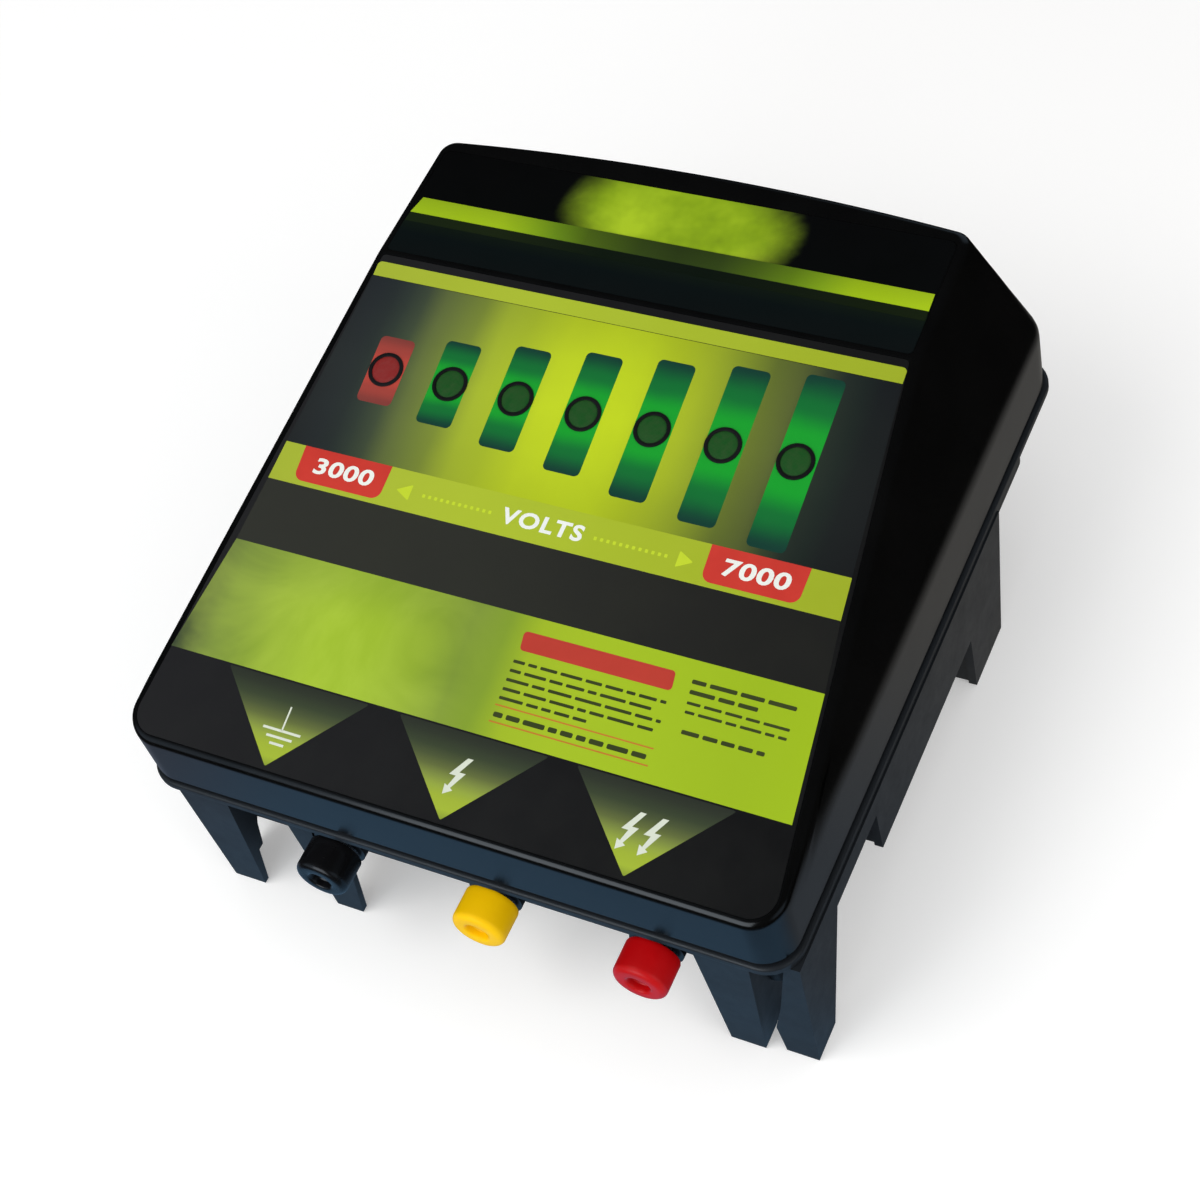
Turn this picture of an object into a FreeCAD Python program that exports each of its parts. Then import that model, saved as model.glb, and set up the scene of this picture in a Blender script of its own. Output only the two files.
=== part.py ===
import FreeCAD, Part
import os, math
from FreeCAD import Vector

os.makedirs("parts", exist_ok=True)

# ---------------------------------------------------------------------------
# Mains electric fence energizer, wall hung.  All sizes in millimetres.
# It lies on its back: X across, Y towards the top (hanging) end, Z out of the
# wall.  While drawing, z = 0 is the parting line between cover and base and
# y = 0 is the near (terminal) end of the base lip.  On saving, each part moves
# so that the origin sits on the wall plane, on the centre line, midway between
# the two hanging keyholes.
# ---------------------------------------------------------------------------

# --- driving dimensions ----------------------------------------------------
WALL_DEPTH = 61.0        # parting line to the wall plane
WALL_Z = -WALL_DEPTH
KEY_Y = 171.0            # keyhole line, measured from the near end
KEY_X = 107.5            # half the distance between the keyholes
KEY_SEAT_R = 3.0         # keyhole: round seat, slot and head opening
KEY_SLOT_HW = 2.0
KEY_HEAD_R = 4.6
KEY_TRAVEL = 8.5         # seat centre to head opening centre
KEY_DEPTH = 4.0

LIP_HW = 120.4           # half width of the base lip
LIP_FAR = 252.8          # far corner of the lip
LIP_BOW = 7.2            # how far the far edge bows out over its width
LIP_T = 4.8              # lip underside below the parting line
CORNER_R = 12.0          # plan corner radius
SEAM_UP = 0.8            # cover edge above the parting line
SEAM_DN = 0.6            # lip top below the parting line

BAND_HW = 119.3          # the cover's upright band
BAND_Y0 = 0.9
BAND_FAR = 250.3
BAND_BOW = 7.0
SIDE_HW0 = 130.69        # leaning side faces: half width at z = 0 ...
SIDE_LEAN = 0.4127       # ... and how fast they lean in
FAR_Y0 = 254.6           # leaning far face: sharp corner at z = 0 ...
FAR_LEAN = 0.205         # ... and its lean
COVER_TOP = 95.0         # height the cover blanks are drawn to
COVER_T = 2.8            # cover wall

PANEL_Z0 = 25.4          # height of the main panel at the near end
PANEL_TILT = math.radians(14.275)
PANEL_RISE = math.tan(PANEL_TILT)
PANEL_NORMAL = Vector(0, -math.sin(PANEL_TILT), math.cos(PANEL_TILT))
CREASE_Y = 185.5         # where the main panel meets the header panel
CREASE_Z = PANEL_Z0 + PANEL_RISE * CREASE_Y
HEAD_RISE = 0.05
HEAD_TILT = math.atan(HEAD_RISE)

STEP_B = 33.4            # tub depth, also the deeper skirt step
TUB_HW = 112.0
TUB_Y0 = 12.0
TUB_FAR = 238.0
TUB_T = 3.0
FLOOR = -STEP_B + TUB_T  # inside face of the tub floor

TERM_X = (-47.0, 13.0, 71.2)   # earth, low power, full power
TERM_Z = -14.5
STUD_R = 3.0
RUN = 0.05               # running clearance of the threads

# cover screws, (x, y)
SCREWS = [(-103.0, 26.0), (103.0, 26.0), (-103.0, 132.0),
          (103.0, 132.0), (-93.0, 229.0), (93.0, 229.0)]


# --- helpers -----------------------------------------------------------------
def box(x0, x1, y0, y1, z0, z1):
    return Part.makeBox(x1 - x0, y1 - y0, z1 - z0, Vector(x0, y0, z0))


def xcyl(r, x, y, z, length):
    return Part.makeCylinder(r, length, Vector(x, y, z), Vector(1, 0, 0))


def ycyl(r, x, z, y0, y1):
    return Part.makeCylinder(r, y1 - y0, Vector(x, y0, z), Vector(0, 1, 0))


def zcyl(r, x, y, z0, z1):
    return Part.makeCylinder(r, z1 - z0, Vector(x, y, z0), Vector(0, 0, 1))


def panel_cyl(r, x, v, n, length):
    """Cylinder square to the sloped main panel: v along the slope from the
    near end, n along the outward normal where the cylinder starts."""
    start = Vector(x, v * math.cos(PANEL_TILT) + n * PANEL_NORMAL.y,
                   PANEL_Z0 + v * math.sin(PANEL_TILT) + n * PANEL_NORMAL.z)
    return Part.makeCylinder(r, length, start, PANEL_NORMAL)


def union(shapes):
    return shapes[0].fuse(shapes[1:]).removeSplitter()


def screw(x, y, shank, head):
    """Upright screw; shank and head are (radius, z0, z1)."""
    return union([zcyl(r, x, y, z0, z1) for r, z0, z1 in (shank, head)])


def prism(points, axis, a0, a1):
    """Straight prism over a closed polygon.  axis 'x': points are (y, z);
    axis 'y': points are (x, z); axis 'z': points are (x, y)."""
    if axis == "x":
        corners = [Vector(a0, p[0], p[1]) for p in points]
        sweep = Vector(a1 - a0, 0, 0)
    elif axis == "y":
        corners = [Vector(p[0], a0, p[1]) for p in points]
        sweep = Vector(0, a1 - a0, 0)
    else:
        corners = [Vector(p[0], p[1], a0) for p in points]
        sweep = Vector(0, 0, a1 - a0)
    return Part.Face(Part.makePolygon(corners + corners[:1])).extrude(sweep)


def outline(hw, y0, y1, bow, r, z):
    """Plan outline: straight near end and sides, gently bowed far end,
    rounded corners.  y1 is where the far arc would meet the side line."""
    def line(a, b):
        return Part.makeLine(Vector(*a, z), Vector(*b, z))

    def arc(a, b, c):
        return Part.Arc(Vector(*a, z), Vector(*b, z), Vector(*c, z)).toShape()

    far_r = (hw * hw + bow * bow) / (2.0 * bow)
    far_y = y1 + bow - far_r
    # far corner: centre, end on the bowed edge, and a point midway round
    cx = hw - r
    cy = far_y + math.sqrt((far_r - r) ** 2 - cx * cx)
    k = far_r / math.hypot(cx, cy - far_y)
    tx, ty = cx * k, far_y + (cy - far_y) * k
    half_turn = math.atan2(ty - cy, tx - cx) / 2.0
    mx, my = cx + r * math.cos(half_turn), cy + r * math.sin(half_turn)
    q = r * (1 - math.sqrt(0.5))
    return Part.Wire([
        line((-hw + r, y0), (hw - r, y0)),
        arc((hw - r, y0), (hw - q, y0 + q), (hw, y0 + r)),
        line((hw, y0 + r), (hw, cy)),
        arc((hw, cy), (mx, my), (tx, ty)),
        arc((tx, ty), (0, y1 + bow), (-tx, ty)),
        arc((-tx, ty), (-mx, my), (-hw, cy)),
        line((-hw, cy), (-hw, y0 + r)),
        arc((-hw, y0 + r), (-hw + q, y0 + q), (-hw + r, y0)),
    ])


def slab(hw, y0, y1, bow, r, z0, z1):
    return Part.Face(outline(hw, y0, y1, bow, r, z0)).extrude(Vector(0, 0, z1 - z0))


def frustum(lower, upper):
    """Solid between two polygons with the same number of corners; every side
    is a flat four-cornered face."""
    loops = [lower + lower[:1], upper + upper[:1]]
    for i in range(len(lower)):
        k = (i + 1) % len(lower)
        loops.append([lower[i], lower[k], upper[k], upper[i], lower[i]])
    faces = [Part.Face(Part.makePolygon(loop)) for loop in loops]
    solid = Part.makeSolid(Part.makeShell(faces))
    if solid.Volume < 0:
        solid.reverse()
    return solid


def taper_block(top, z_top, tip, z_tip):
    """Tapered block between rectangles (x0, x1, y0, y1) at two heights."""
    def corners(rect, z):
        x0, x1, y0, y1 = rect
        return [Vector(x0, y0, z), Vector(x1, y0, z), Vector(x1, y1, z), Vector(x0, y1, z)]
    return frustum(corners(tip, z_tip), corners(top, z_top))


def tilted(shape, angle, y, z):
    """Move a shape drawn in (x, v, n) onto the panel that starts at (y, z)."""
    moved = shape.copy()
    moved.rotate(Vector(0, 0, 0), Vector(1, 0, 0), math.degrees(angle))
    moved.translate(Vector(0, y, z))
    return moved


def mirror_x(shape):
    return shape.mirror(Vector(0, 0, 0), Vector(1, 0, 0))


def span(side, inner, outer):
    """X range between two distances from the centre line; side is 1 or -1."""
    return (inner, outer) if side > 0 else (-outer, -inner)


def save(name, shape):
    """Write one part, moved to the wall frame; a list becomes a compound."""
    if isinstance(shape, list):
        shape = Part.makeCompound(shape)
    moved = shape.copy()
    moved.translate(Vector(0, -KEY_Y, WALL_DEPTH))
    moved.exportStep("parts/" + name + ".step")


# ---------------------------------------------------------------------------
# Front cover, a shell open towards the base, and its two sunk labels
# ---------------------------------------------------------------------------
LED_V = 148.0            # lamp row, along the slope from the near end
LED_PITCH = 25.4
LED_X0 = -2.55           # middle lamp
LED_RING_R = 5.95
LED_LENS_R = 5.25
LED_X = [LED_X0 + LED_PITCH * (i - 3) for i in range(7)]

BOARD_T = 1.6
DISPLAY_POST_X = (-93.0, 93.0)
POST_H = 6.0             # display posts below the cover wall
DISPLAY_N = -COVER_T - POST_H - 0.1      # outer face of the display board

LABEL_T = 0.4
LABEL_GAP = 0.15         # label edge to the recess edge
LABEL_IN = 2.6           # recess edge to the side edge of the panel
# v0, v1: ends along the slope; r_near, r_far: corner radii
MAIN_LABEL = dict(tilt=PANEL_TILT, y=0, z=PANEL_Z0, v0=3.2,
                  v1=CREASE_Y / math.cos(PANEL_TILT) - 1.0, r_near=8.5, r_far=1.5)
HEADER_LABEL = dict(tilt=HEAD_TILT, y=CREASE_Y, z=CREASE_Z, v0=1.0,
                    v1=49.0, r_near=1.5, r_far=3.0)


def cover_body(t):
    """Solid outer form (t = 0) or the hollow inside it (t = wall)."""
    z0 = SEAM_UP if t == 0 else SEAM_UP - 5
    band = slab(BAND_HW - t, BAND_Y0 + t, BAND_FAR - t, BAND_BOW, CORNER_R - t, z0, COVER_TOP)

    side_t = t / math.cos(math.atan(SIDE_LEAN))
    far_t = t / math.cos(math.atan(FAR_LEAN))

    def lean_outline(z, bow, r):
        return outline(SIDE_HW0 - SIDE_LEAN * z - side_t, -6,
                       FAR_Y0 - FAR_LEAN * z - far_t, bow, r, z)

    leaning = Part.makeLoft([lean_outline(-6.0, 9.0, 13.0 - t),
                             lean_outline(COVER_TOP, 4.4, 4.0 - 0.4 * t)], True, True)

    # side profile of the two top panels, extruded across
    panel_z = PANEL_Z0 - t / math.cos(PANEL_TILT)
    head_z = CREASE_Z - t / math.cos(HEAD_TILT) - HEAD_RISE * CREASE_Y
    crease_y = (head_z - panel_z) / (PANEL_RISE - HEAD_RISE)
    crease_z = panel_z + PANEL_RISE * crease_y
    panels = prism([(-20, -20), (300, -20),
                    (300, crease_z + HEAD_RISE * (300 - crease_y)),
                    (crease_y, crease_z),
                    (-20, panel_z - PANEL_RISE * 20)], "x", -150, 150)
    return band.common(leaning).common(panels).removeSplitter()


def round_corners(sheet, v_mid, r_near, r_far):
    """Round a sheet's upright edges, with one radius each side of v_mid."""
    def upright(e):
        return abs(e.tangentAt(e.FirstParameter).z) > 0.99

    def start_v(e):
        return e.valueAt(e.FirstParameter).y

    sheet = sheet.makeFillet(r_near, [e for e in sheet.Edges if upright(e) and start_v(e) < v_mid])
    far = [e for e in sheet.Edges if e.Curve.TypeId == "Part::GeomLine"
           and upright(e) and start_v(e) > v_mid + 5]
    return sheet.makeFillet(r_far, far)


def label_sheet(label, inset, n0, n1):
    """Sheet of a label's shape between two heights over its panel."""
    def half_width(v):
        z = label["z"] + v * math.sin(label["tilt"])
        return SIDE_HW0 - SIDE_LEAN * z - LABEL_IN - inset

    v0, v1 = label["v0"] + inset, label["v1"] - inset
    h0, h1 = half_width(v0), half_width(v1)
    sheet = prism([(-h0, v0), (h0, v0), (h1, v1), (-h1, v1)], "z", n0, n1)
    sheet = round_corners(sheet, (v0 + v1) / 2.0, label["r_near"], label["r_far"])
    return tilted(sheet, label["tilt"], label["y"], label["z"])


def front_cover(lamp_holes):
    inner = cover_body(COVER_T)
    cover = cover_body(0).cut(inner)
    cover = cover.cut([label_sheet(label, 0, -LABEL_T, 3) for label in (MAIN_LABEL, HEADER_LABEL)])
    cover = cover.cut(lamp_holes)
    # a pillar over each base screw, and posts that carry the display board
    pillars = [zcyl(4.6, x, y, SEAM_UP, 80).common(inner) for x, y in SCREWS]
    posts = [panel_cyl(3.2, x, LED_V, -COVER_T - POST_H, POST_H + COVER_T * 0.5)
             for x in DISPLAY_POST_X]
    cover = cover.fuse(pillars + posts).removeSplitter()
    cover = cover.cut([zcyl(1.5, x, y, SEAM_UP - 1, 18) for x, y in SCREWS])
    return cover.cut([panel_cyl(1.1, x, LED_V, DISPLAY_N, 6.5) for x in DISPLAY_POST_X])


lamp_holes = [panel_cyl(LED_RING_R + 0.05, x, LED_V, -8, 12) for x in LED_X]
save("front_cover", front_cover(lamp_holes))
save("front_label", label_sheet(MAIN_LABEL, LABEL_GAP, -LABEL_T, 0.0).cut(lamp_holes))
save("header_label", label_sheet(HEADER_LABEL, LABEL_GAP, -LABEL_T, 0.0))


# ---------------------------------------------------------------------------
# Lamps: seven round lenses in rings, and the board behind them
# ---------------------------------------------------------------------------
def lens(x):
    body = panel_cyl(LED_LENS_R, x, LED_V, -2.75, 2.6)
    stem = panel_cyl(2.4, x, LED_V, -5.9, 3.15)
    flange = panel_cyl(3.4, x, LED_V, -6.7, 0.8)
    return union([body, stem, flange])


def lamp_ring(x):
    tube = panel_cyl(LED_RING_R, x, LED_V, -3.2, 3.2)
    flange = panel_cyl(LED_RING_R + 1.4, x, LED_V, -COVER_T - 0.95, 0.9)
    bore = panel_cyl(LED_LENS_R + 0.05, x, LED_V, -6, 8)
    return tube.fuse(flange).cut(bore).removeSplitter()


def display_board():
    board = box(-97, 97, LED_V - 13, LED_V + 13, DISPLAY_N - BOARD_T, DISPLAY_N)
    board = tilted(board, PANEL_TILT, 0, PANEL_Z0)
    return board.cut([panel_cyl(1.4, x, LED_V, -12, 6) for x in DISPLAY_POST_X])


def display_screw(x):
    back = DISPLAY_N - BOARD_T
    head_h = 1.4
    return union([panel_cyl(1.05, x, LED_V, back, 5.0),
                  panel_cyl(2.4, x, LED_V, back - head_h, head_h)])


save("lamp_red", lens(LED_X[0]))
save("lamps_green", [lens(x) for x in LED_X[1:]])
save("lamp_rings", [lamp_ring(x) for x in LED_X])
save("display_board", display_board())
save("lamp_sockets", [panel_cyl(1.9, x, LED_V, DISPLAY_N, 2.2) for x in LED_X])
save("display_board_screws", [display_screw(x) for x in DISPLAY_POST_X])

# ---------------------------------------------------------------------------
# Base: lip, tub, stepped skirts, deep hanging feet and the near-end legs
# ---------------------------------------------------------------------------
ROOT_Z = -LIP_T + 0.6    # skirts and legs start inside the lip
GASKET_Z = -2.2          # groove floor
SKIRT_X = 121.0          # outer face of the side skirts
SKIRT_T = 3.0
STEP_C = 12.8            # shallower skirt step
STEP_Y = 68.2            # where the skirt steps down to STEP_B
FOOT_Y = 153.7           # where it steps down to the wall
SOLE_FAR = 179.6         # far end of the foot at the wall
FOOT_NEAR = FOOT_Y + 1.0 # near wall of the foot, set back from the skirt
FOOT_HOLLOW = FOOT_NEAR + 3.0

# (y, z) outlines of the skirt, the foot block, its hollow and its far wall
SKIRT = [(24.0, ROOT_Z), (24.0, -STEP_C), (STEP_Y, -STEP_C), (STEP_Y, -STEP_B),
         (FOOT_Y, -STEP_B), (FOOT_Y, WALL_Z), (SOLE_FAR, WALL_Z), (188.8, ROOT_Z)]
FOOT = [(FOOT_NEAR, WALL_Z), (SOLE_FAR, WALL_Z), (183.95, -STEP_B + 1), (FOOT_NEAR, -STEP_B + 1)]
HOLLOW = [(FOOT_HOLLOW, WALL_Z + 3), (176.4, WALL_Z + 3), (180.3, -STEP_B),
          (FOOT_HOLLOW, -STEP_B)]
FAR_WALL = [(180.3, -STEP_B), (183.9, -STEP_B), (188.7, ROOT_Z), (185.1, ROOT_Z)]

# (y, z) outlines of the ribs behind the leg plates
PLATE_T = 2.6
RIB_SHORT = [(0.0, 0.0), (11.6, 0.0), (11.6, -12.0), (8.6, -27.0), (3.9, -40.0),
             (3.0, WALL_Z), (0.0, WALL_Z)]
RIB_DEEP = [(0.0, 0.0), (22.0, 0.0), (21.8, -45.0), (14.5, -58.0), (9.4, WALL_Z), (0.0, WALL_Z)]
RIB_LEFT = [(0.0, 0.0), (11.6, 0.0), (11.6, -12.0), (8.9, -29.0), (6.8, -43.0), (4.2, -43.0),
            (2.2, WALL_Z), (0.0, WALL_Z)]
RIB_MID = [(0, 0), (12.6, 0), (12.6, -12), (9, -27), (5.2, -44), (4.0, WALL_Z), (0, WALL_Z)]

# near wall of the outer corner leg, (x, z), and the leg's side wall, (y, z)
CORNER_WALL = [(109.6, WALL_Z), (SKIRT_X, WALL_Z), (SKIRT_X, ROOT_Z), (115.6, ROOT_Z),
               (111.1, -32.0), (107.6, -47.0)]
CORNER_TIP_Y = 1.9       # near face at the wall ...
CORNER_TOP_Y = 5.0       # ... and at the lip
CORNER_SIDE = [(CORNER_TIP_Y, WALL_Z), (16.0, WALL_Z), (37.1, ROOT_Z), (CORNER_TOP_Y, ROOT_Z)]
LEFT_CORNER_SHIFT = 21.0 # the left corner leg stands further along Y

BOARD_Z = FLOOR + 8.0    # underside of the main board
BOARD_POSTS = [(-88.0, 36.0), (88.0, 36.0), (-88.0, 118.0), (88.0, 118.0)]

# transformers: centre x, core width, depth and height; both centred on one y
MAINS_TX = (44.0, 60.0, 28.0, 50.0)
PULSE_TX = (-47.0, 66.0, 34.0, 56.0)
TX_Y = 190.0
CRADLE_SCREW = 7.0       # cradle screw beyond the core's side
CRADLE_SCREW_X = [cx + side * (w / 2 + CRADLE_SCREW)
                  for cx, w, d, h in (MAINS_TX, PULSE_TX) for side in (-1, 1)]

MAINS_X, MAINS_Y = 56.0, 222.0   # mains lead entry through the tub floor


def lip_slab():
    z0, z1 = -LIP_T, -SEAM_DN
    lip = slab(LIP_HW, 0, LIP_FAR, LIP_BOW, CORNER_R + 0.4, z0, z1)
    rims = []
    for e in lip.Edges:
        z = e.valueAt((e.FirstParameter + e.LastParameter) / 2.0).z
        if abs(z - z0) < 0.01 or abs(z - z1) < 0.01:
            rims.append(e)
    # the lip stays square if the rounding of its rims fails
    try:
        rounded = lip.makeFillet(1.3, rims)
        if rounded.isValid():
            lip = rounded
    except Exception:
        pass
    return lip


def gasket_ring(gap, top):
    """Ring in the top of the lip; gap draws it in from the groove walls."""
    outer = slab(117.6 - gap, 2.9 + gap, LIP_FAR - 3.6 - gap, LIP_BOW, 9.6 - gap, GASKET_Z, top)
    inner = slab(113.2 + gap, 7.3 - gap, LIP_FAR - 8.0 + gap, LIP_BOW, 5.6 + gap, -3.0, 2.0)
    return outer.cut(inner)


def side_pieces(side):
    """Skirt, webs and hanging foot of one side."""
    between = span(side, TUB_HW - 1, SKIRT_X - 1)
    foot = prism(FOOT, "x", *span(side, 94.0, SKIRT_X - 1))
    hollow = prism(HOLLOW, "x", *span(side, 97.0, 118.0))
    return [
        prism(SKIRT, "x", *span(side, SKIRT_X - SKIRT_T, SKIRT_X)),
        box(*span(side, TUB_HW - 1, SKIRT_X - SKIRT_T + 0.5),
            STEP_Y + 1.0, STEP_Y + 3.8, -STEP_B, ROOT_Z),
        foot.cut(hollow),
        # upper part of the foot's walls, between tub and skirt
        box(*between, FOOT_NEAR, FOOT_HOLLOW, -STEP_B, ROOT_Z),
        prism(FAR_WALL, "x", *between),
    ]


def plate_leg(top_x, tip_x, top_y, tip_y, depth, ribs):
    """Leg at the near end: a tapered plate with ribs behind it.  top_x, tip_x:
    left and right edges; top_y, tip_y: near face; ribs: (edge, outline) pairs,
    edge 0 for the left and 1 for the right."""
    pieces = [taper_block((*top_x, top_y, top_y + depth), ROOT_Z,
                          (*tip_x, tip_y, tip_y + depth), WALL_Z)]
    for edge, profile in ribs:
        top = top_x[edge] - edge * PLATE_T
        tip = tip_x[edge] - edge * PLATE_T
        block = taper_block((top, top + PLATE_T, top_y, top_y + 20), ROOT_Z,
                            (tip, tip + PLATE_T, tip_y, tip_y + 20), WALL_Z)
        pieces.append(block.common(prism(profile, "x", -130, 130)))
    return union(pieces)


def corner_leg():
    """Outer corner leg: a near wall that widens downwards and a side wall."""
    def near_y(z):
        return CORNER_TIP_Y + (CORNER_TOP_Y - CORNER_TIP_Y) * (z - WALL_Z) / (ROOT_Z - WALL_Z)

    wall = frustum([Vector(x, near_y(z), z) for x, z in CORNER_WALL],
                   [Vector(x, near_y(z) + PLATE_T, z) for x, z in CORNER_WALL])
    return wall.fuse(prism(CORNER_SIDE, "x", SKIRT_X - PLATE_T, SKIRT_X))


def legs():
    right = plate_leg((86.6, 105.7), (90.5, 102.9), 0.5, 0.2, PLATE_T,
                      [(0, RIB_SHORT), (1, RIB_DEEP)])
    left = mirror_x(plate_leg((87.0, 106.8), (92.3, 105.0), 0.4, 0.0, 2.0,
                              [(0, RIB_LEFT), (1, RIB_DEEP)]))
    middle = plate_leg((-67.5, -44.5), (-62.4, -51.8), 3.4, 1.2, PLATE_T, [(0, RIB_MID)])
    corner = corner_leg()
    left_corner = mirror_x(corner)
    left_corner.translate(Vector(0, LEFT_CORNER_SHIFT, 0))
    return [right, corner, left, left_corner, middle]


def keyhole(x):
    """The screw head enters the large round opening, the shank slides along
    the slot and sits in the slightly wider round seat."""
    z0, z1 = WALL_Z - 1, WALL_Z + KEY_DEPTH
    head_y = KEY_Y - KEY_TRAVEL
    return [zcyl(KEY_SEAT_R, x, KEY_Y, z0, z1),
            box(x - KEY_SLOT_HW, x + KEY_SLOT_HW, head_y, KEY_Y, z0, z1),
            zcyl(KEY_HEAD_R, x, head_y, z0, z1)]


def base_openings():
    cuts = []
    for x, y in SCREWS:
        cuts.append(zcyl(2.1, x, y, -STEP_B - 1, 1))
        cuts.append(zcyl(4.0, x, y, -STEP_B - 1, -20))
    # terminal holes through the near wall, and room round the earth terminal
    for x in TERM_X:
        cuts.append(ycyl(5.0, x, TERM_Z, 5, TUB_Y0 + TUB_T + 1))
    cuts.append(ycyl(10.6, TERM_X[0], TERM_Z, -2, TUB_Y0))
    for side in (1, -1):
        cuts += keyhole(side * KEY_X)
    cuts.append(zcyl(7.0, MAINS_X, MAINS_Y, -STEP_B - 1, FLOOR + 1))
    return cuts


def rear_base():
    tub_outer = slab(TUB_HW, TUB_Y0, TUB_FAR, 6.0, 8.0, -STEP_B, -SEAM_DN)
    tub_inner = slab(TUB_HW - TUB_T, TUB_Y0 + TUB_T, TUB_FAR - TUB_T, 6.0, 8.0 - TUB_T, FLOOR, 2.0)
    base = lip_slab().fuse(tub_outer).cut(tub_inner)
    base = base.cut(gasket_ring(0.0, 1.0))
    base = base.fuse(side_pieces(1) + side_pieces(-1) + legs())
    for x, y in SCREWS:
        base = base.fuse(zcyl(5.2, x, y, -STEP_B, -SEAM_DN))
    base = base.removeSplitter()
    base = base.cut(base_openings())
    # main board standoffs, and screw holes for the transformer cradles
    posts = [zcyl(4.0, x, y, FLOOR - 1, BOARD_Z) for x, y in BOARD_POSTS]
    base = base.fuse(posts).removeSplitter()
    base = base.cut([zcyl(1.2, x, y, FLOOR + 0.6, BOARD_Z + 1) for x, y in BOARD_POSTS])
    return base.cut([zcyl(1.6, x, TX_Y, FLOOR - 2.4, FLOOR + 1) for x in CRADLE_SCREW_X])


save("rear_base", rear_base())
save("seal_gasket", gasket_ring(0.3, SEAM_UP))
# driven from the back through the base pillars
save("cover_screws", [screw(x, y, shank=(1.45, -21.5, 14.0), head=(3.6, -24.0, -20.0))
                      for x, y in SCREWS])

# ---------------------------------------------------------------------------
# Output terminals; each item of the stack is given by its y range
# ---------------------------------------------------------------------------
KNOB_R = 9.45
KNOB_Y = (-11.5, 1.0)
CLAMP_Y = (KNOB_Y[1], 2.2)
BUSH_Y = 3.0             # near face of the bush
WASHER_Y = (16.7, 18.3)
NUT_Y = (18.3, 23.3)
LUG_Y = (23.3, 24.3)
LOCKNUT_Y = (24.3, 28.3)
STUD_Y = (-6.2, 29.8)
NUT_AF = 10.0            # across flats
BARREL_Y = 25.6          # axis of the lug's wire barrel
BARREL_Z = TERM_Z + 10.5 # lower end of the barrel
BARREL_H = 6.0


def bush(x):
    spigot = ycyl(4.9, x, TERM_Z, TUB_Y0, TUB_Y0 + TUB_T + 1.6)
    body = union([ycyl(9.5, x, TERM_Z, BUSH_Y, TUB_Y0), spigot])
    body = body.cut(ycyl(STUD_R + RUN, x, TERM_Z, -5, 30))
    # hollow moulding: a ring groove in the face against the tub
    groove = ycyl(8.4, x, TERM_Z, 6.2, TUB_Y0).cut(ycyl(5.4, x, TERM_Z, 5, TUB_Y0 + 1))
    return body.cut(groove)


def stud_washer(x):
    return ycyl(6.0, x, TERM_Z, *WASHER_Y).cut(ycyl(STUD_R + 0.2, x, TERM_Z, 15, 20))


def hex_nut(x, y0, y1):
    corner_r = NUT_AF / math.sqrt(3)
    angles = [math.radians(60 * i + 30) for i in range(6)]
    corners = [(x + corner_r * math.cos(a), TERM_Z + corner_r * math.sin(a)) for a in angles]
    return prism(corners, "y", y0, y1).cut(ycyl(STUD_R + RUN, x, TERM_Z, y0 - 1, y1 + 1))


def ring_lug(x):
    lug = union([ycyl(5.6, x, TERM_Z, *LUG_Y),
                 box(x - 2.2, x + 2.2, *LUG_Y, TERM_Z, TERM_Z + 12)])
    barrel = zcyl(2.3, x, BARREL_Y, BARREL_Z, BARREL_Z + BARREL_H)
    lug = lug.fuse(barrel).removeSplitter()
    lug = lug.cut(ycyl(STUD_R + 0.2, x, TERM_Z, 20, 30))
    return lug.cut(zcyl(1.5, x, BARREL_Y, BARREL_Z - 0.1, BARREL_Z + 7.9))


def knob(x):
    y0, y1 = KNOB_Y
    body = ycyl(KNOB_R, x, TERM_Z, y0, y1)
    for y, r in ((y0, 2.2), (y1, 0.6)):
        rim = [e for e in body.Edges
               if abs(e.BoundBox.YMax - y) < 0.01 and abs(e.BoundBox.YMin - y) < 0.01]
        body = body.makeFillet(r, rim)
    body = body.cut(ycyl(STUD_R + RUN, x, TERM_Z, -7.0, y1 + 1))
    return body.cut(ycyl(4.3, x, TERM_Z, y0 - 1, -8.6))


def clamp_washer(x):
    return ycyl(8.0, x, TERM_Z, *CLAMP_Y).cut(ycyl(STUD_R + RUN, x, TERM_Z, 0, 3))


save("terminal_bushes", [bush(x) for x in TERM_X])
save("terminal_studs", [ycyl(STUD_R, x, TERM_Z, *STUD_Y) for x in TERM_X])
save("terminal_washers", [stud_washer(x) for x in TERM_X])
save("terminal_nuts", [hex_nut(x, *NUT_Y) for x in TERM_X])
save("output_lugs", [ring_lug(x) for x in TERM_X])
save("terminal_locknuts", [hex_nut(x, *LOCKNUT_Y) for x in TERM_X])
for terminal, x in zip(("earth", "low", "full"), TERM_X):
    save("terminal_knob_" + terminal, knob(x))
    save("clamp_washer_" + terminal, clamp_washer(x))

# ---------------------------------------------------------------------------
# Main board and the parts on it
# ---------------------------------------------------------------------------
TOP = BOARD_Z + BOARD_T  # upper face of the board
CAN_R = 15.5             # storage capacitor cans, lying along X
CAN_L = 70.0
CAN_X = (-80.0, 8.0)     # left ends
CAN_Y = (46.0, 80.0)     # rows
STRAP_HW = 5.0
FUSE_Y = 106.5
FUSE_Z = TOP + 7.2


def main_board():
    board = box(-96, 96, 30, 126, BOARD_Z, TOP)
    return board.cut([zcyl(1.6, x, y, BOARD_Z - 1, BOARD_Z + 3) for x, y in BOARD_POSTS])


def storage_can(x, y):
    can = xcyl(CAN_R, x, y, TOP + CAN_R, CAN_L)
    return can.makeFillet(1.5, [e for e in can.Edges if e.BoundBox.XLength < 0.01])


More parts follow.
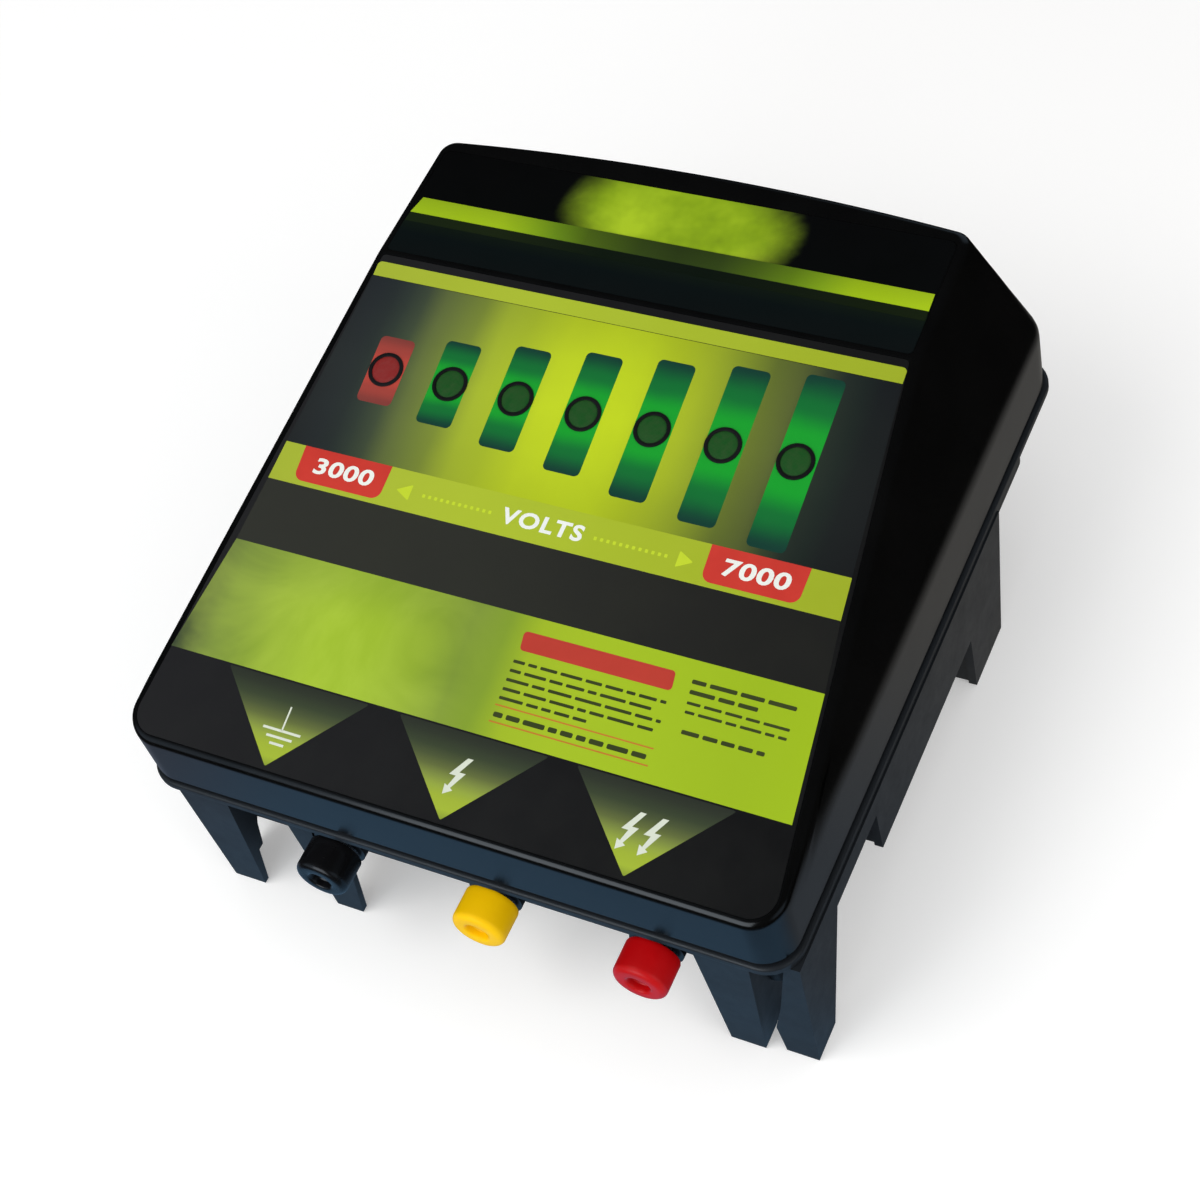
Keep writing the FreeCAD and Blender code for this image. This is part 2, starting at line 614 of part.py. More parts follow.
def capacitor_strap(x):
    """An arch over the can of each row, joined by a bar between the rows."""
    z = TOP + CAN_R
    arches = []
    for y in CAN_Y:
        outer = xcyl(16.7, x - STRAP_HW, y, z, 2 * STRAP_HW)
        inner = xcyl(CAN_R + 0.05, x - STRAP_HW - 1, y, z, 2 * STRAP_HW + 2)
        upper = box(x - STRAP_HW - 1, x + STRAP_HW + 1, y - 20, y + 20, z, TOP + 40)
        arches.append(outer.cut(inner).common(upper))
    bar = box(x - STRAP_HW, x + STRAP_HW, CAN_Y[0] + CAN_R + 0.1, CAN_Y[1] - CAN_R - 0.1,
              z - 1, z + 2)
    return union(arches + [bar])


def fuse_holder():
    holder = box(-86, -58, 102, 111, TOP, TOP + 3)
    for x in (-84, -64):
        holder = holder.fuse(box(x, x + 4, 103, 110, TOP + 3, TOP + 10))
    return holder.removeSplitter().cut(xcyl(2.65, -84.2, FUSE_Y, FUSE_Z, 24.5))


def mains_terminal_block():
    wells = [zcyl(2.4, x, 119.0, TOP + 4, TOP + 20) for x in (-76.0, -63.0, -50.0)]
    return box(-82, -44, 113.5, 124.5, TOP, TOP + 14).cut(wells)


def heatsink():
    plate = box(-30, 30, 118.5, 121, TOP, TOP + 26)
    fins = [box(-30 + 9.5 * i, -28 + 9.5 * i, 121, 126, TOP, TOP + 26) for i in range(7)]
    return union([plate] + fins)


def thyristor():
    body = box(-8, 8, 113.5, 118.4, TOP + 6, TOP + 26)
    pins = [box(x - 0.6, x + 0.6, 115.0, 115.8, TOP, TOP + 6) for x in (-5.4, 0, 5.4)]
    return union([body] + pins)


save("main_board", main_board())
save("board_screws", [screw(x, y, shank=(1.15, BOARD_Z - 6.0, TOP), head=(2.9, TOP, TOP + 2.0))
                      for x, y in BOARD_POSTS])
save("storage_capacitors", [storage_can(x, y) for y in CAN_Y for x in CAN_X])
save("capacitor_straps", [capacitor_strap(x + CAN_L / 2) for x in CAN_X])
save("filter_capacitor", zcyl(9.0, 78.0, 107.0, TOP, TOP + 30))
save("fuse_holder", fuse_holder())
save("fuse", xcyl(2.6, -82.0, FUSE_Y, FUSE_Z, 20.0))
save("mains_terminal_block", mains_terminal_block())
save("heatsink", heatsink())
save("thyristor", thyristor())
save("rectifier_diodes", [xcyl(2.6, x, 108.0, TOP + 3.0, 9.0) for x in (14.0, 27.0, 40.0, 53.0)])
save("spark_suppressor", ycyl(7.0, -34.0, TOP + 7.0, 108.0, 112.5))

# ---------------------------------------------------------------------------
# Transformers and the cradles that hold them on the floor
# ---------------------------------------------------------------------------
CRADLE_T = 1.5
BOBBIN_GAP = 0.3         # bobbin to core
TUBE_T = 1.8             # bobbin tube wall
FLANGE_T = 1.5
WINDING_OUT = 0.8        # winding beyond the core faces, in limb widths


def transformer(name, cx, w, d, h):
    """Laminated shell-type transformer: core, bobbin and winding."""
    def block(half_x, half_y, z0, z1):
        return box(cx - half_x, cx + half_x, TX_Y - half_y, TX_Y + half_y, z0, z1)

    z0 = FLOOR + CRADLE_T
    limb = w / 6.0       # outer limb, also half the middle limb
    core = block(w / 2, d / 2, z0, z0 + h)
    windows = []
    for side in (1, -1):
        a, b = span(side, limb, 2 * limb)
        windows.append(box(cx + a, cx + b, TX_Y - d / 2 - 1, TX_Y + d / 2 + 1,
                           z0 + limb, z0 + h - limb))
    save(name + "_core", core.cut(windows))

    bottom, top = z0 + limb + BOBBIN_GAP, z0 + h - limb - BOBBIN_GAP
    tube = block(limb + TUBE_T, d / 2 + TUBE_T, bottom, top)
    flanges = [block(2 * limb - BOBBIN_GAP, d / 2 + limb * 0.9, z, z + FLANGE_T)
               for z in (bottom, top - FLANGE_T)]
    bore = block(limb + BOBBIN_GAP * 0.5, d / 2 + BOBBIN_GAP * 0.5, bottom - 1, top + 1)
    save(name + "_bobbin", union([tube] + flanges).cut(bore))

    winding = block(2 * limb - 0.8, d / 2 + limb * WINDING_OUT,
                    bottom + FLANGE_T + 0.1, top - FLANGE_T - 0.1)
    bore = block(limb + TUBE_T + 0.05, d / 2 + TUBE_T + 0.05, bottom, top)
    save(name + "_winding", winding.cut(bore))


def cradle(cx, w):
    """Steel strip under a core of width w, with an upright at each side."""
    y0, y1 = TX_Y - 9, TX_Y + 9
    half = w / 2 + 12.5
    inner, outer = w / 2 + 0.1, w / 2 + 0.1 + CRADLE_T
    strip = box(cx - half, cx + half, y0, y1, FLOOR, FLOOR + CRADLE_T)
    strip = strip.cut([zcyl(2.2, cx + side * (w / 2 + CRADLE_SCREW), TX_Y, FLOOR - 1, FLOOR + 3)
                       for side in (1, -1)])
    uprights = [box(cx - outer, cx - inner, y0, y1, FLOOR, FLOOR + 30),
                box(cx + inner, cx + outer, y0, y1, FLOOR, FLOOR + 30)]
    return strip.fuse(uprights).removeSplitter()


transformer("mains_transformer", *MAINS_TX)
transformer("pulse_transformer", *PULSE_TX)
save("transformer_frame", [cradle(cx, w) for cx, w, d, h in (MAINS_TX, PULSE_TX)])
save("frame_screws", [screw(x, TX_Y, shank=(1.55, FLOOR - 2.3, FLOOR + CRADLE_T),
                            head=(3.4, FLOOR + CRADLE_T, FLOOR + 3.7))
                      for x in CRADLE_SCREW_X])


# ---------------------------------------------------------------------------
# Leads, grommet, ribbon and rating plate
# ---------------------------------------------------------------------------
def lead(points, r):
    """Round lead along a polyline with rounded joints."""
    points = [Vector(*p) for p in points]
    pieces = [Part.makeCylinder(r, (b - a).Length, a, b - a) for a, b in zip(points, points[1:])]
    pieces += [Part.makeSphere(r, p) for p in points[1:-1]]
    shape = pieces[0]
    for piece in pieces[1:]:
        shape = shape.fuse(piece)
    return shape.removeSplitter()


def output_lead(i, x):
    """Lead i from its lug at x over the board to the pulse winding."""
    cx, w, d, h = PULSE_TX
    end_x = cx - 6 + 6 * i
    end_y = TX_Y - d / 2 - w / 6 * WINDING_OUT - 0.1
    rise = 2.0 * i       # keeps the leads clear of each other
    return lead([(x, BARREL_Y, BARREL_Z + BARREL_H + 0.1),
                 (x, BARREL_Y, 17.0 + rise),
                 (x, 60.0 + 5 * i, 24.0 + rise),
                 (end_x, 130.0, 34.0 + rise),
                 (end_x, 152.0, 8.0),
                 (end_x, end_y, 8.0)], 1.45)


def lead_grommet():
    body = union([zcyl(9.0, MAINS_X, MAINS_Y, -STEP_B - 2.0, -STEP_B),
                  zcyl(6.9, MAINS_X, MAINS_Y, -STEP_B - 0.01, FLOOR),
                  zcyl(8.4, MAINS_X, MAINS_Y, FLOOR, FLOOR + 1.8)])
    return body.cut(zcyl(3.75, MAINS_X, MAINS_Y, -STEP_B - 5, -STEP_B + 10))


save("output_leads", [output_lead(i, x) for i, x in enumerate(TERM_X)])
save("lead_grommet", lead_grommet())
# the mains lead is cut off just outside the base
save("mains_lead", lead([(MAINS_X, MAINS_Y, -STEP_B + 12.0),
                         (MAINS_X, MAINS_Y, -STEP_B - 12.0),
                         (MAINS_X, MAINS_Y - 26.0, -STEP_B - 12.0)], 3.65))
# from the main board up to the display board, (y, z)
RIBBON = [(104.0, TOP), (104.0, 14.0), (137.6, 49.5), (138.2, 48.9), (104.7, 13.7), (104.7, TOP)]
save("ribbon_cable", prism(RIBBON, "x", 36.0, 50.0))
# blank plate on the back of the tub
save("rating_plate", box(-35, 35, 90, 130, -STEP_B - 0.5, -STEP_B))
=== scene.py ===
"""Looks of a mains pulse unit: a black case with a sloped label panel, seven lamps in a row
and three terminal knobs at the near end.

Shapes are given in mm in the case's drawing frame: x runs across with -x on the left, y from
the near end (y = 0) to the far end, z up from the parting line (z = 0).  to_row() turns a
point into the row frame in metres.  Points on the main panel and on the flatter header panel
beyond the crease are given as (x, y) with y measured up the panel's own slope.
"""
import math

import bmesh
import bpy
import numpy as np
from mathutils import Matrix, Vector


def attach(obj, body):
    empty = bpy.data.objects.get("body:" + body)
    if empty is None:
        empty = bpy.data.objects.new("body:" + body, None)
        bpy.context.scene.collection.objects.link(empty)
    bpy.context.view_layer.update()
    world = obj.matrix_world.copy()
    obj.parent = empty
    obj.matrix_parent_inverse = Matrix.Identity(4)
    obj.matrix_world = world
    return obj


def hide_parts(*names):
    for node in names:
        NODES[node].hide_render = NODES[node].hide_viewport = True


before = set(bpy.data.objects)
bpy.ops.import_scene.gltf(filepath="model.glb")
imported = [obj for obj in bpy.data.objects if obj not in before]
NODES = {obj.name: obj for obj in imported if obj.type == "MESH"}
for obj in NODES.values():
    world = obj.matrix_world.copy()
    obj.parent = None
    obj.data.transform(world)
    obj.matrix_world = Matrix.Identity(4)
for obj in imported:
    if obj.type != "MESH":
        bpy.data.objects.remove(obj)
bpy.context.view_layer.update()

scene = bpy.context.scene
scene.view_settings.view_transform = "Standard"
scene.view_settings.look = "None"

# ---------------------------------------------------------------------------
# Driving dimensions, mm
# ---------------------------------------------------------------------------
ROW_Y, ROW_Z = 171.0, 61.0          # drawing y at the row origin, height of the parting line

# Upright band of the case: half width, near end, far corners, bow of the far end, corner radius
BAND_HALF, BAND_NEAR, BAND_CORNER = 119.3, 0.9, 12.0
BAND = (BAND_HALF, BAND_NEAR, 250.3, 7.0, BAND_CORNER)

PANEL_Z0 = 25.4                     # height of the main panel at y = 0
PANEL_TILT = math.radians(14.275)
PANEL_RISE = math.tan(PANEL_TILT)
CREASE_Y = 185.5                    # where main panel and header panel meet
CREASE_Z = PANEL_Z0 + PANEL_RISE * CREASE_Y
HEADER_RISE = 0.05
HEADER_TILT = math.atan(HEADER_RISE)
SIDE_HALF, SIDE_LEAN = 130.69, 0.4127   # leaning sides: half width at z = 0, loss per mm up
FAR_Y, FAR_LEAN = 254.6, 0.205          # leaning far end, likewise
LOFT_LOW, LOFT_HIGH = -6.0, 95.0        # heights between which the leaning form is lofted
SIDE_R, EDGE_R, CREASE_R = 1.15, 2.5, 0.12  # blend radii: band to sides, top edge, crease
COVER_T = 2.8                       # wall thickness

LAMP_Y, LAMP_MID_X, LAMP_PITCH = 148.0, -2.55, 25.4
LAMP_X = [LAMP_MID_X + LAMP_PITCH * (i - 3) for i in range(7)]
RING_R, LENS_R = 5.95, 5.25
HOLE_R = RING_R + 0.05
KNOB_X = {"earth": -47.0, "low": 13.0, "full": 71.2}
KNOB_Z = -14.5


def to_row(point):
    """Drawing frame in mm to row frame in metres; takes one point or an array."""
    point = np.asarray(point, float)
    x, y, z = point[..., 0], point[..., 1], point[..., 2]
    return np.stack([x, y - ROW_Y, z + ROW_Z], -1) / 1000.0


def on_panel(x, y, lift=0.0):
    """Point on the main panel, y measured up the slope from the near end."""
    sin, cos = math.sin(PANEL_TILT), math.cos(PANEL_TILT)
    return (x, y * cos - lift * sin, PANEL_Z0 + y * sin + lift * cos)


def on_header(x, y, lift=0.0):
    """Point on the header panel, y measured from the crease."""
    sin, cos = math.sin(HEADER_TILT), math.cos(HEADER_TILT)
    return (x, CREASE_Y + y * cos - lift * sin, CREASE_Z + y * sin + lift * cos)


def half_at(z):
    """Half width of the leaning sides at height z."""
    return SIDE_HALF - SIDE_LEAN * z


# ---------------------------------------------------------------------------
# Mesh helpers
# ---------------------------------------------------------------------------
def link_object(name, mesh):
    ob = bpy.data.objects.new(name, mesh)
    scene.collection.objects.link(ob)
    return ob


def bmesh_object(name, bm):
    mesh = bpy.data.meshes.new(name)
    bm.to_mesh(mesh)
    bm.free()
    return link_object(name, mesh)


def set_mat(ob, material):
    ob.data.materials.clear()
    ob.data.materials.append(material)


def dress(ob, body, material):
    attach(ob, body)
    set_mat(ob, material)


def shade_smooth(mesh, angle):
    mesh.polygons.foreach_set("use_smooth", [True] * len(mesh.polygons))
    mesh.set_sharp_from_angle(angle=math.radians(angle))


def smooth_object(name, verts, faces, body, slot, material, angle=32):
    """Smooth-shaded object from drawing-frame points; edges over the angle stay sharp."""
    mesh = bpy.data.meshes.new(name)
    mesh.from_pydata(to_row(verts).tolist(), [], faces)
    mesh.validate()
    bm = bmesh.new()
    bm.from_mesh(mesh)
    bmesh.ops.recalc_face_normals(bm, faces=bm.faces)
    bm.to_mesh(mesh)
    bm.free()
    shade_smooth(mesh, angle)
    ob = link_object(name, mesh)
    dress(ob, body, material)
    return ob


def add_mod(ob, kind, name, **settings):
    mod = ob.modifiers.new(name, kind)
    for key, value in settings.items():
        setattr(mod, key, value)


def apply_mods(ob):
    graph = bpy.context.evaluated_depsgraph_get()
    mesh = bpy.data.meshes.new_from_object(ob.evaluated_get(graph), depsgraph=graph)
    ob.modifiers.clear()
    ob.data = mesh


def slab(bm, place, loops, low, high):
    """Thin closed plate between two lifts; loops are the outline and then its holes."""
    rings = []
    for loop in loops:
        top = [bm.verts.new(to_row(place(x, y, high))) for x, y in loop]
        bottom = [bm.verts.new(to_row(place(x, y, low))) for x, y in loop]
        for i in range(len(loop)):
            j = (i + 1) % len(loop)
            bm.faces.new((top[i], top[j], bottom[j], bottom[i]))
        rings.append((top, bottom))
    for side in (0, 1):
        edges = []
        for ring in rings:
            verts = ring[side]
            for i in range(len(verts)):
                edges.append(bm.edges.get((verts[i], verts[(i + 1) % len(verts)])))
        bmesh.ops.triangle_fill(bm, use_beauty=True, use_dissolve=False, edges=edges)


def prism(name, place, outline, low, high):
    """Solid prism standing on a panel between two lifts."""
    bm = bmesh.new()
    top = [bm.verts.new(to_row(place(x, y, high))) for x, y in outline]
    bottom = [bm.verts.new(to_row(place(x, y, low))) for x, y in outline]
    bm.faces.new(top)
    bm.faces.new(bottom[::-1])
    for i in range(len(outline)):
        j = (i + 1) % len(outline)
        bm.faces.new((top[j], top[i], bottom[i], bottom[j]))
    bmesh.ops.recalc_face_normals(bm, faces=bm.faces)
    return bmesh_object(name, bm)


def upright_rod(name, x, y, low, high, radius):
    bm = bmesh.new()
    outline = circle(x, y, radius, 32)
    bottom = [bm.verts.new(to_row((*point, low))) for point in outline]
    top = [bm.verts.new(to_row((*point, high))) for point in outline]
    bm.faces.new(bottom[::-1])
    bm.faces.new(top)
    for i in range(len(outline)):
        j = (i + 1) % len(outline)
        bm.faces.new((bottom[i], bottom[j], top[j], top[i]))
    return bmesh_object(name, bm)


def circle(x, y, radius, count=48):
    turns = [2 * math.pi * i / count for i in range(count)]
    return [(x + radius * math.cos(t), y + radius * math.sin(t)) for t in turns]


def strip(x0, x1, y0, y1, top=None):
    """Four corners, anticlockwise from the lower left; top is the x range at y1 if it differs."""
    top0, top1 = top or (x0, x1)
    return [(x0, y0), (x1, y0), (top1, y1), (top0, y1)]


def rounded(points, radii, seg=6):
    """Polygon with its corners rounded, by one radius or by one for each corner."""
    out = []
    count = len(points)
    for i in range(count):
        corner = np.array(points[i], float)
        back = np.array(points[i - 1], float) - corner
        ahead = np.array(points[(i + 1) % count], float) - corner
        radius = radii[i] if isinstance(radii, (list, tuple)) else radii
        if radius <= 0:
            out.append(tuple(corner))
            continue
        back_len, ahead_len = np.linalg.norm(back), np.linalg.norm(ahead)
        back, ahead = back / back_len, ahead / ahead_len
        angle = math.acos(max(-1, min(1, float(back @ ahead))))
        # the arc may use up to just under half of each neighbouring side
        trim = min(radius / math.tan(angle / 2), back_len * 0.49, ahead_len * 0.49)
        radius = trim * math.tan(angle / 2)
        middle = back + ahead
        centre = corner + middle / np.linalg.norm(middle) * (radius / math.sin(angle / 2))
        start, end = corner + back * trim - centre, corner + ahead * trim - centre
        sweep = math.atan2(start[0] * end[1] - start[1] * end[0], float(start @ end))
        for k in range(seg + 1):
            cos, sin = math.cos(sweep * k / seg), math.sin(sweep * k / seg)
            out.append((centre[0] + start[0] * cos - start[1] * sin,
                        centre[1] + start[0] * sin + start[1] * cos))
    return out


def lathe(profile, count=64):
    """Turn a closed profile of (radius, height) about the third axis."""
    verts, faces = [], []
    size = len(profile)
    for i in range(count):
        turn = 2 * math.pi * i / count
        for radius, height in profile:
            verts.append((radius * math.cos(turn), radius * math.sin(turn), height))
    for i in range(count):
        j = (i + 1) % count
        for k in range(size):
            l = (k + 1) % size
            faces.append((i * size + k, j * size + k, j * size + l, i * size + l))
    return np.array(verts), faces


def weld(verts, faces, grid=1e-5):
    """Merge coincident points, such as a lathe's points on its axis."""
    key = np.round(verts / grid).astype(np.int64)
    _, first, inverse = np.unique(key, axis=0, return_index=True, return_inverse=True)
    inverse = np.asarray(inverse).reshape(-1)
    out = []
    for face in faces:
        ids = [int(inverse[i]) for i in face]
        ids = [ids[i] for i in range(len(ids)) if ids[i] != ids[i - 1]]
        if len(set(ids)) >= 3 and len(set(ids)) == len(ids):
            out.append(tuple(ids))
    return verts[first], out


# ---------------------------------------------------------------------------
# Node-tree helpers.  Colours of three numbers are sRGB out of 255, those of four are linear.
# ---------------------------------------------------------------------------
def rgba(color):
    if len(color) == 4:
        return color
    parts = [c / 255.0 for c in color]
    return (*(c / 12.92 if c <= 0.04045 else ((c + 0.055) / 1.055) ** 2.4 for c in parts), 1.0)


class Nodes:
    """A cleared node tree with short ways to add nodes; most return an output socket."""

    def __init__(self, tree):
        self.tree = tree
        tree.nodes.clear()

    def node(self, kind, **settings):
        node = self.tree.nodes.new(kind)
        for key, value in settings.items():
            setattr(node, key, value)
        return node

    def link(self, source, target):
        self.tree.links.new(source, target)

    def put(self, socket, value):
        """value: a number, a colour tuple or another socket."""
        if isinstance(value, bpy.types.NodeSocket):
            self.link(value, socket)
        else:
            socket.default_value = rgba(value) if isinstance(value, tuple) else value

    def remap(self, value, span, to=(0.0, 1.0), smooth=False):
        kind = "SMOOTHSTEP" if smooth else "LINEAR"
        node = self.node("ShaderNodeMapRange", interpolation_type=kind)
        self.put(node.inputs["Value"], value)
        node.inputs["From Min"].default_value, node.inputs["From Max"].default_value = span
        node.inputs["To Min"].default_value, node.inputs["To Max"].default_value = to
        return node.outputs["Result"]

    def dot(self, vector, direction):
        node = self.node("ShaderNodeVectorMath", operation="DOT_PRODUCT")
        self.link(vector, node.inputs[0])
        node.inputs[1].default_value = direction
        return node.outputs["Value"]

    def ray_switch(self, is_ray, others, rays):
        """One shader for the rays picked by is_ray, another for all others."""
        node = self.node("ShaderNodeMixShader")
        for socket, source in zip(node.inputs, (is_ray, others, rays)):
            self.link(source, socket)
        return node.outputs[0]


class Mat(Nodes):
    """A material with a Principled shader."""

    def __init__(self, name):
        self.material = bpy.data.materials.new(name)
        self.material.use_nodes = True
        super().__init__(self.material.node_tree)
        self.output = self.node("ShaderNodeOutputMaterial")
        self.shader = self.node("ShaderNodeBsdfPrincipled")
        self.link(self.shader.outputs[0], self.output.inputs[0])
        self.coord = self.node("ShaderNodeTexCoord").outputs["Object"]

    def set(self, **values):
        """Set Principled inputs, underscores for spaces; returns the material."""
        for key, value in values.items():
            self.put(self.shader.inputs[key.replace("_", " ")], value)
        return self.material

    def math(self, operation, first, second=0.0):
        node = self.node("ShaderNodeMath", operation=operation)
        for socket, value in zip(node.inputs, (first, second, 0.0)):
            self.put(socket, value)
        return node.outputs[0]

    def add(self, first, second):
        return self.math("ADD", first, second)

    def sub(self, first, second):
        return self.math("SUBTRACT", first, second)

    def mul(self, first, second):
        return self.math("MULTIPLY", first, second)

    def wave(self, value, pitch):
        """Sine of the value, one period per pitch."""
        return self.math("SINE", self.mul(value, 2 * math.pi / pitch))

    def noise(self, scale, detail=3.0, rough=0.5, vector=None, distortion=0.0):
        node = self.node("ShaderNodeTexNoise")
        self.put(node.inputs["Vector"], self.coord if vector is None else vector)
        node.inputs["Scale"].default_value = scale
        node.inputs["Detail"].default_value = detail
        node.inputs["Roughness"].default_value = rough
        node.inputs["Distortion"].default_value = distortion
        return node.outputs["Fac"]

    def mottle(self, span=(0.3, 0.7), to=(0.0, 1.0), **noise):
        """Noise with the middle of its range stretched to the range given by to."""
        return self.remap(self.noise(**noise), span, to)

    def wobble(self, amount, **noise):
        """Noise centred on zero."""
        return self.mul(self.sub(self.noise(**noise), 0.5), amount)

    def ramp(self, value, stops, interp="LINEAR"):
        """stops: (position, colour)."""
        node = self.node("ShaderNodeValToRGB")
        ramp = node.color_ramp
        ramp.interpolation = interp
        while len(ramp.elements) > 1:
            ramp.elements.remove(ramp.elements[-1])
        ramp.elements[0].position = stops[0][0]
        ramp.elements[0].color = rgba(stops[0][1])
        for position, color in stops[1:]:
            ramp.elements.new(position).color = rgba(color)
        self.put(node.inputs[0], value)
        return node.outputs[0]

    def tones(self, value, table, start=None):
        """Colour by a length in mm; table rows are the length and three sRGB values."""
        low = table[0][0] if start is None else start
        high = table[-1][0]
        stops = [((row[0] - low) / (high - low), row[1:]) for row in table]
        return self.ramp(self.remap(value, (low, high)), stops)

    def mix(self, factor, first, second, mode="MIX"):
        node = self.node("ShaderNodeMix", data_type="RGBA", blend_type=mode)
        self.put(node.inputs["Factor"], factor)
        self.put(node.inputs[6], first)
        self.put(node.inputs[7], second)
        return node.outputs[2]

    def tint(self, color, by):
        return self.mix(1.0, color, by, "MULTIPLY")

    def bump(self, height, strength, dist, normal=None):
        node = self.node("ShaderNodeBump")
        node.inputs["Strength"].default_value = strength
        node.inputs["Distance"].default_value = dist
        self.put(node.inputs["Height"], height)
        if normal is not None:
            self.link(normal, node.inputs["Normal"])
        return node.outputs[0]

    def xyz(self):
        node = self.node("ShaderNodeSeparateXYZ")
        self.link(self.coord, node.inputs[0])
        return node.outputs

    def panel_x(self):
        """x in mm."""
        return self.mul(self.xyz()[0], 1000.0)

    def panel_y(self, header=False):
        """y in mm up the main panel, or up the header panel."""
        place, tilt = (on_header, HEADER_TILT) if header else (on_panel, PANEL_TILT)
        node = self.node("ShaderNodeVectorMath", operation="SUBTRACT")
        self.link(self.coord, node.inputs[0])
        node.inputs[1].default_value = tuple(to_row(place(0, 0)))
        along = self.dot(node.outputs[0], (0, math.cos(tilt), math.sin(tilt)))
        return self.mul(along, 1000.0)


# ---------------------------------------------------------------------------
# Materials of the case and its parts
# ---------------------------------------------------------------------------
def plastic(name, color, color_2, rough, grain=1500.0, grain_bump=0.06, specular=0.5):
    mat = Mat(name)
    cloud = mat.mottle(scale=38.0, detail=4.0, rough=0.6, span=(0.35, 0.65))
    return mat.set(
        Base_Color=mat.mix(cloud, color, color_2),
        Roughness=mat.mottle(scale=160.0, detail=5.0, rough=0.65, to=(rough - 0.05, rough + 0.05)),
        Normal=mat.bump(mat.noise(scale=grain, detail=2.0), strength=grain_bump, dist=0.0001),
        Specular_IOR_Level=specular)


def gloss_black():
    """Polished moulding: deep black, long-wave ripple, faint haze."""
    mat = Mat("cover_gloss")
    cloud = mat.mottle(scale=30.0, detail=4.0, rough=0.6, span=(0.35, 0.65))
    haze = mat.mottle(scale=55.0, detail=6.0, rough=0.7, distortion=0.6,
                      span=(0.35, 0.75), to=(0.14, 0.21))
    wave = mat.noise(scale=70.0, detail=1.0, rough=0.4)
    fine = mat.noise(scale=1400.0, detail=2.0)
    ripple = mat.bump(wave, strength=0.05, dist=0.0002)
    return mat.set(Base_Color=mat.mix(cloud, (6, 6, 6), (9, 9, 9)), Roughness=haze,
                   Normal=mat.bump(fine, strength=0.03, dist=0.00005, normal=ripple))


def satin_black():
    """Satin moulding with a fine grain."""
    mat = Mat("base_satin")
    cloud = mat.mottle(scale=26.0, detail=5.0, rough=0.6)
    grain = mat.noise(scale=2200.0, rough=0.6)
    return mat.set(
        Base_Color=mat.mix(cloud, (26, 30, 34), (32, 36, 41)),
        Roughness=mat.mottle(scale=120.0, detail=5.0, rough=0.65, to=(0.36, 0.46)),
        Normal=mat.bump(grain, strength=0.12, dist=0.0001))


def rubber(name, color):
    mat = Mat(name)
    noise = mat.noise(scale=900.0, detail=4.0, rough=0.7)
    lighter = tuple(c + 8 for c in color)
    return mat.set(
        Base_Color=mat.mix(mat.remap(noise, span=(0.3, 0.7)), color, lighter),
        Roughness=mat.remap(noise, span=(0.3, 0.7), to=(0.62, 0.8)),
        Normal=mat.bump(noise, strength=0.15, dist=0.0001))


def metal(name, color, rough, axis=1):
    """Bare metal, streaked along the axis."""
    mat = Mat(name)
    stretch = mat.node("ShaderNodeMapping")
    mat.link(mat.coord, stretch.inputs["Vector"])
    scale = [900.0, 900.0, 900.0]
    scale[axis] = 30.0
    stretch.inputs["Scale"].default_value = scale
    streaks = mat.noise(scale=1.0, detail=4.0, rough=0.6, vector=stretch.outputs[0])
    darker = tuple(c - 26 for c in color)
    return mat.set(
        Base_Color=mat.mix(mat.remap(streaks, span=(0.3, 0.7)), color, darker),
        Metallic=1.0,
        Roughness=mat.remap(streaks, span=(0.3, 0.7), to=(rough - 0.06, rough + 0.12)),
        Normal=mat.bump(streaks, strength=0.06, dist=0.00005))


def circuit_board():
    """Green board with lighter traces along cell borders."""
    mat = Mat("circuit_board")
    cells = mat.node("ShaderNodeTexVoronoi", feature="DISTANCE_TO_EDGE")
    mat.link(mat.coord, cells.inputs["Vector"])
    cells.inputs["Scale"].default_value = 180.0
    trace = mat.remap(cells.outputs["Distance"], span=(0.03, 0.06), to=(1.0, 0.0))
    cloud = mat.mottle(scale=60.0, detail=4.0, rough=0.6)
    color = mat.mix(cloud, (12, 84, 44), (16, 96, 52))
    return mat.set(
        Base_Color=mat.mix(mat.mul(trace, 0.6), color, (40, 132, 70)),
        Roughness=mat.remap(cloud, span=(0.0, 1.0), to=(0.3, 0.42)),
        Normal=mat.bump(trace, strength=0.2, dist=0.00004))


def laminations():
    """Stacked sheets, 1 mm apart along y."""
    mat = Mat("laminations")
    sheet = mat.remap(mat.wave(mat.xyz()[1], pitch=0.001), span=(-1, 1))
    cloud = mat.mottle(scale=140.0, detail=4.0, rough=0.6)
    return mat.set(
        Base_Color=mat.mix(mat.mul(cloud, sheet), (70, 68, 68), (112, 106, 102)),
        Metallic=0.8,
        Roughness=mat.remap(cloud, span=(0, 1), to=(0.4, 0.6)),
        Normal=mat.bump(sheet, strength=0.4, dist=0.00015))


def enamelled_wire():
    """Copper turns, 0.9 mm apart along z."""
    mat = Mat("enamelled_wire")
    turn = mat.remap(mat.wave(mat.xyz()[2], pitch=0.0009), span=(-1, 1))
    cloud = mat.mottle(scale=120.0, detail=4.0, rough=0.6)
    color = mat.mix(turn, (92, 40, 18), (196, 104, 54))
    return mat.set(
        Base_Color=mat.mix(mat.mul(cloud, 0.3), color, (150, 70, 34)),
        Metallic=0.5,
        Roughness=0.32,
        Normal=mat.bump(turn, strength=0.6, dist=0.0002))


def ribbon():
    """Grey ribbon cable, cores 1.27 mm apart along x."""
    mat = Mat("ribbon")
    core = mat.remap(mat.wave(mat.xyz()[0], pitch=0.00127), span=(-1, 1))
    return mat.set(Base_Color=mat.mix(core, (120, 124, 128), (186, 188, 190)),
                   Roughness=0.5, Normal=mat.bump(core, strength=0.5, dist=0.0002))


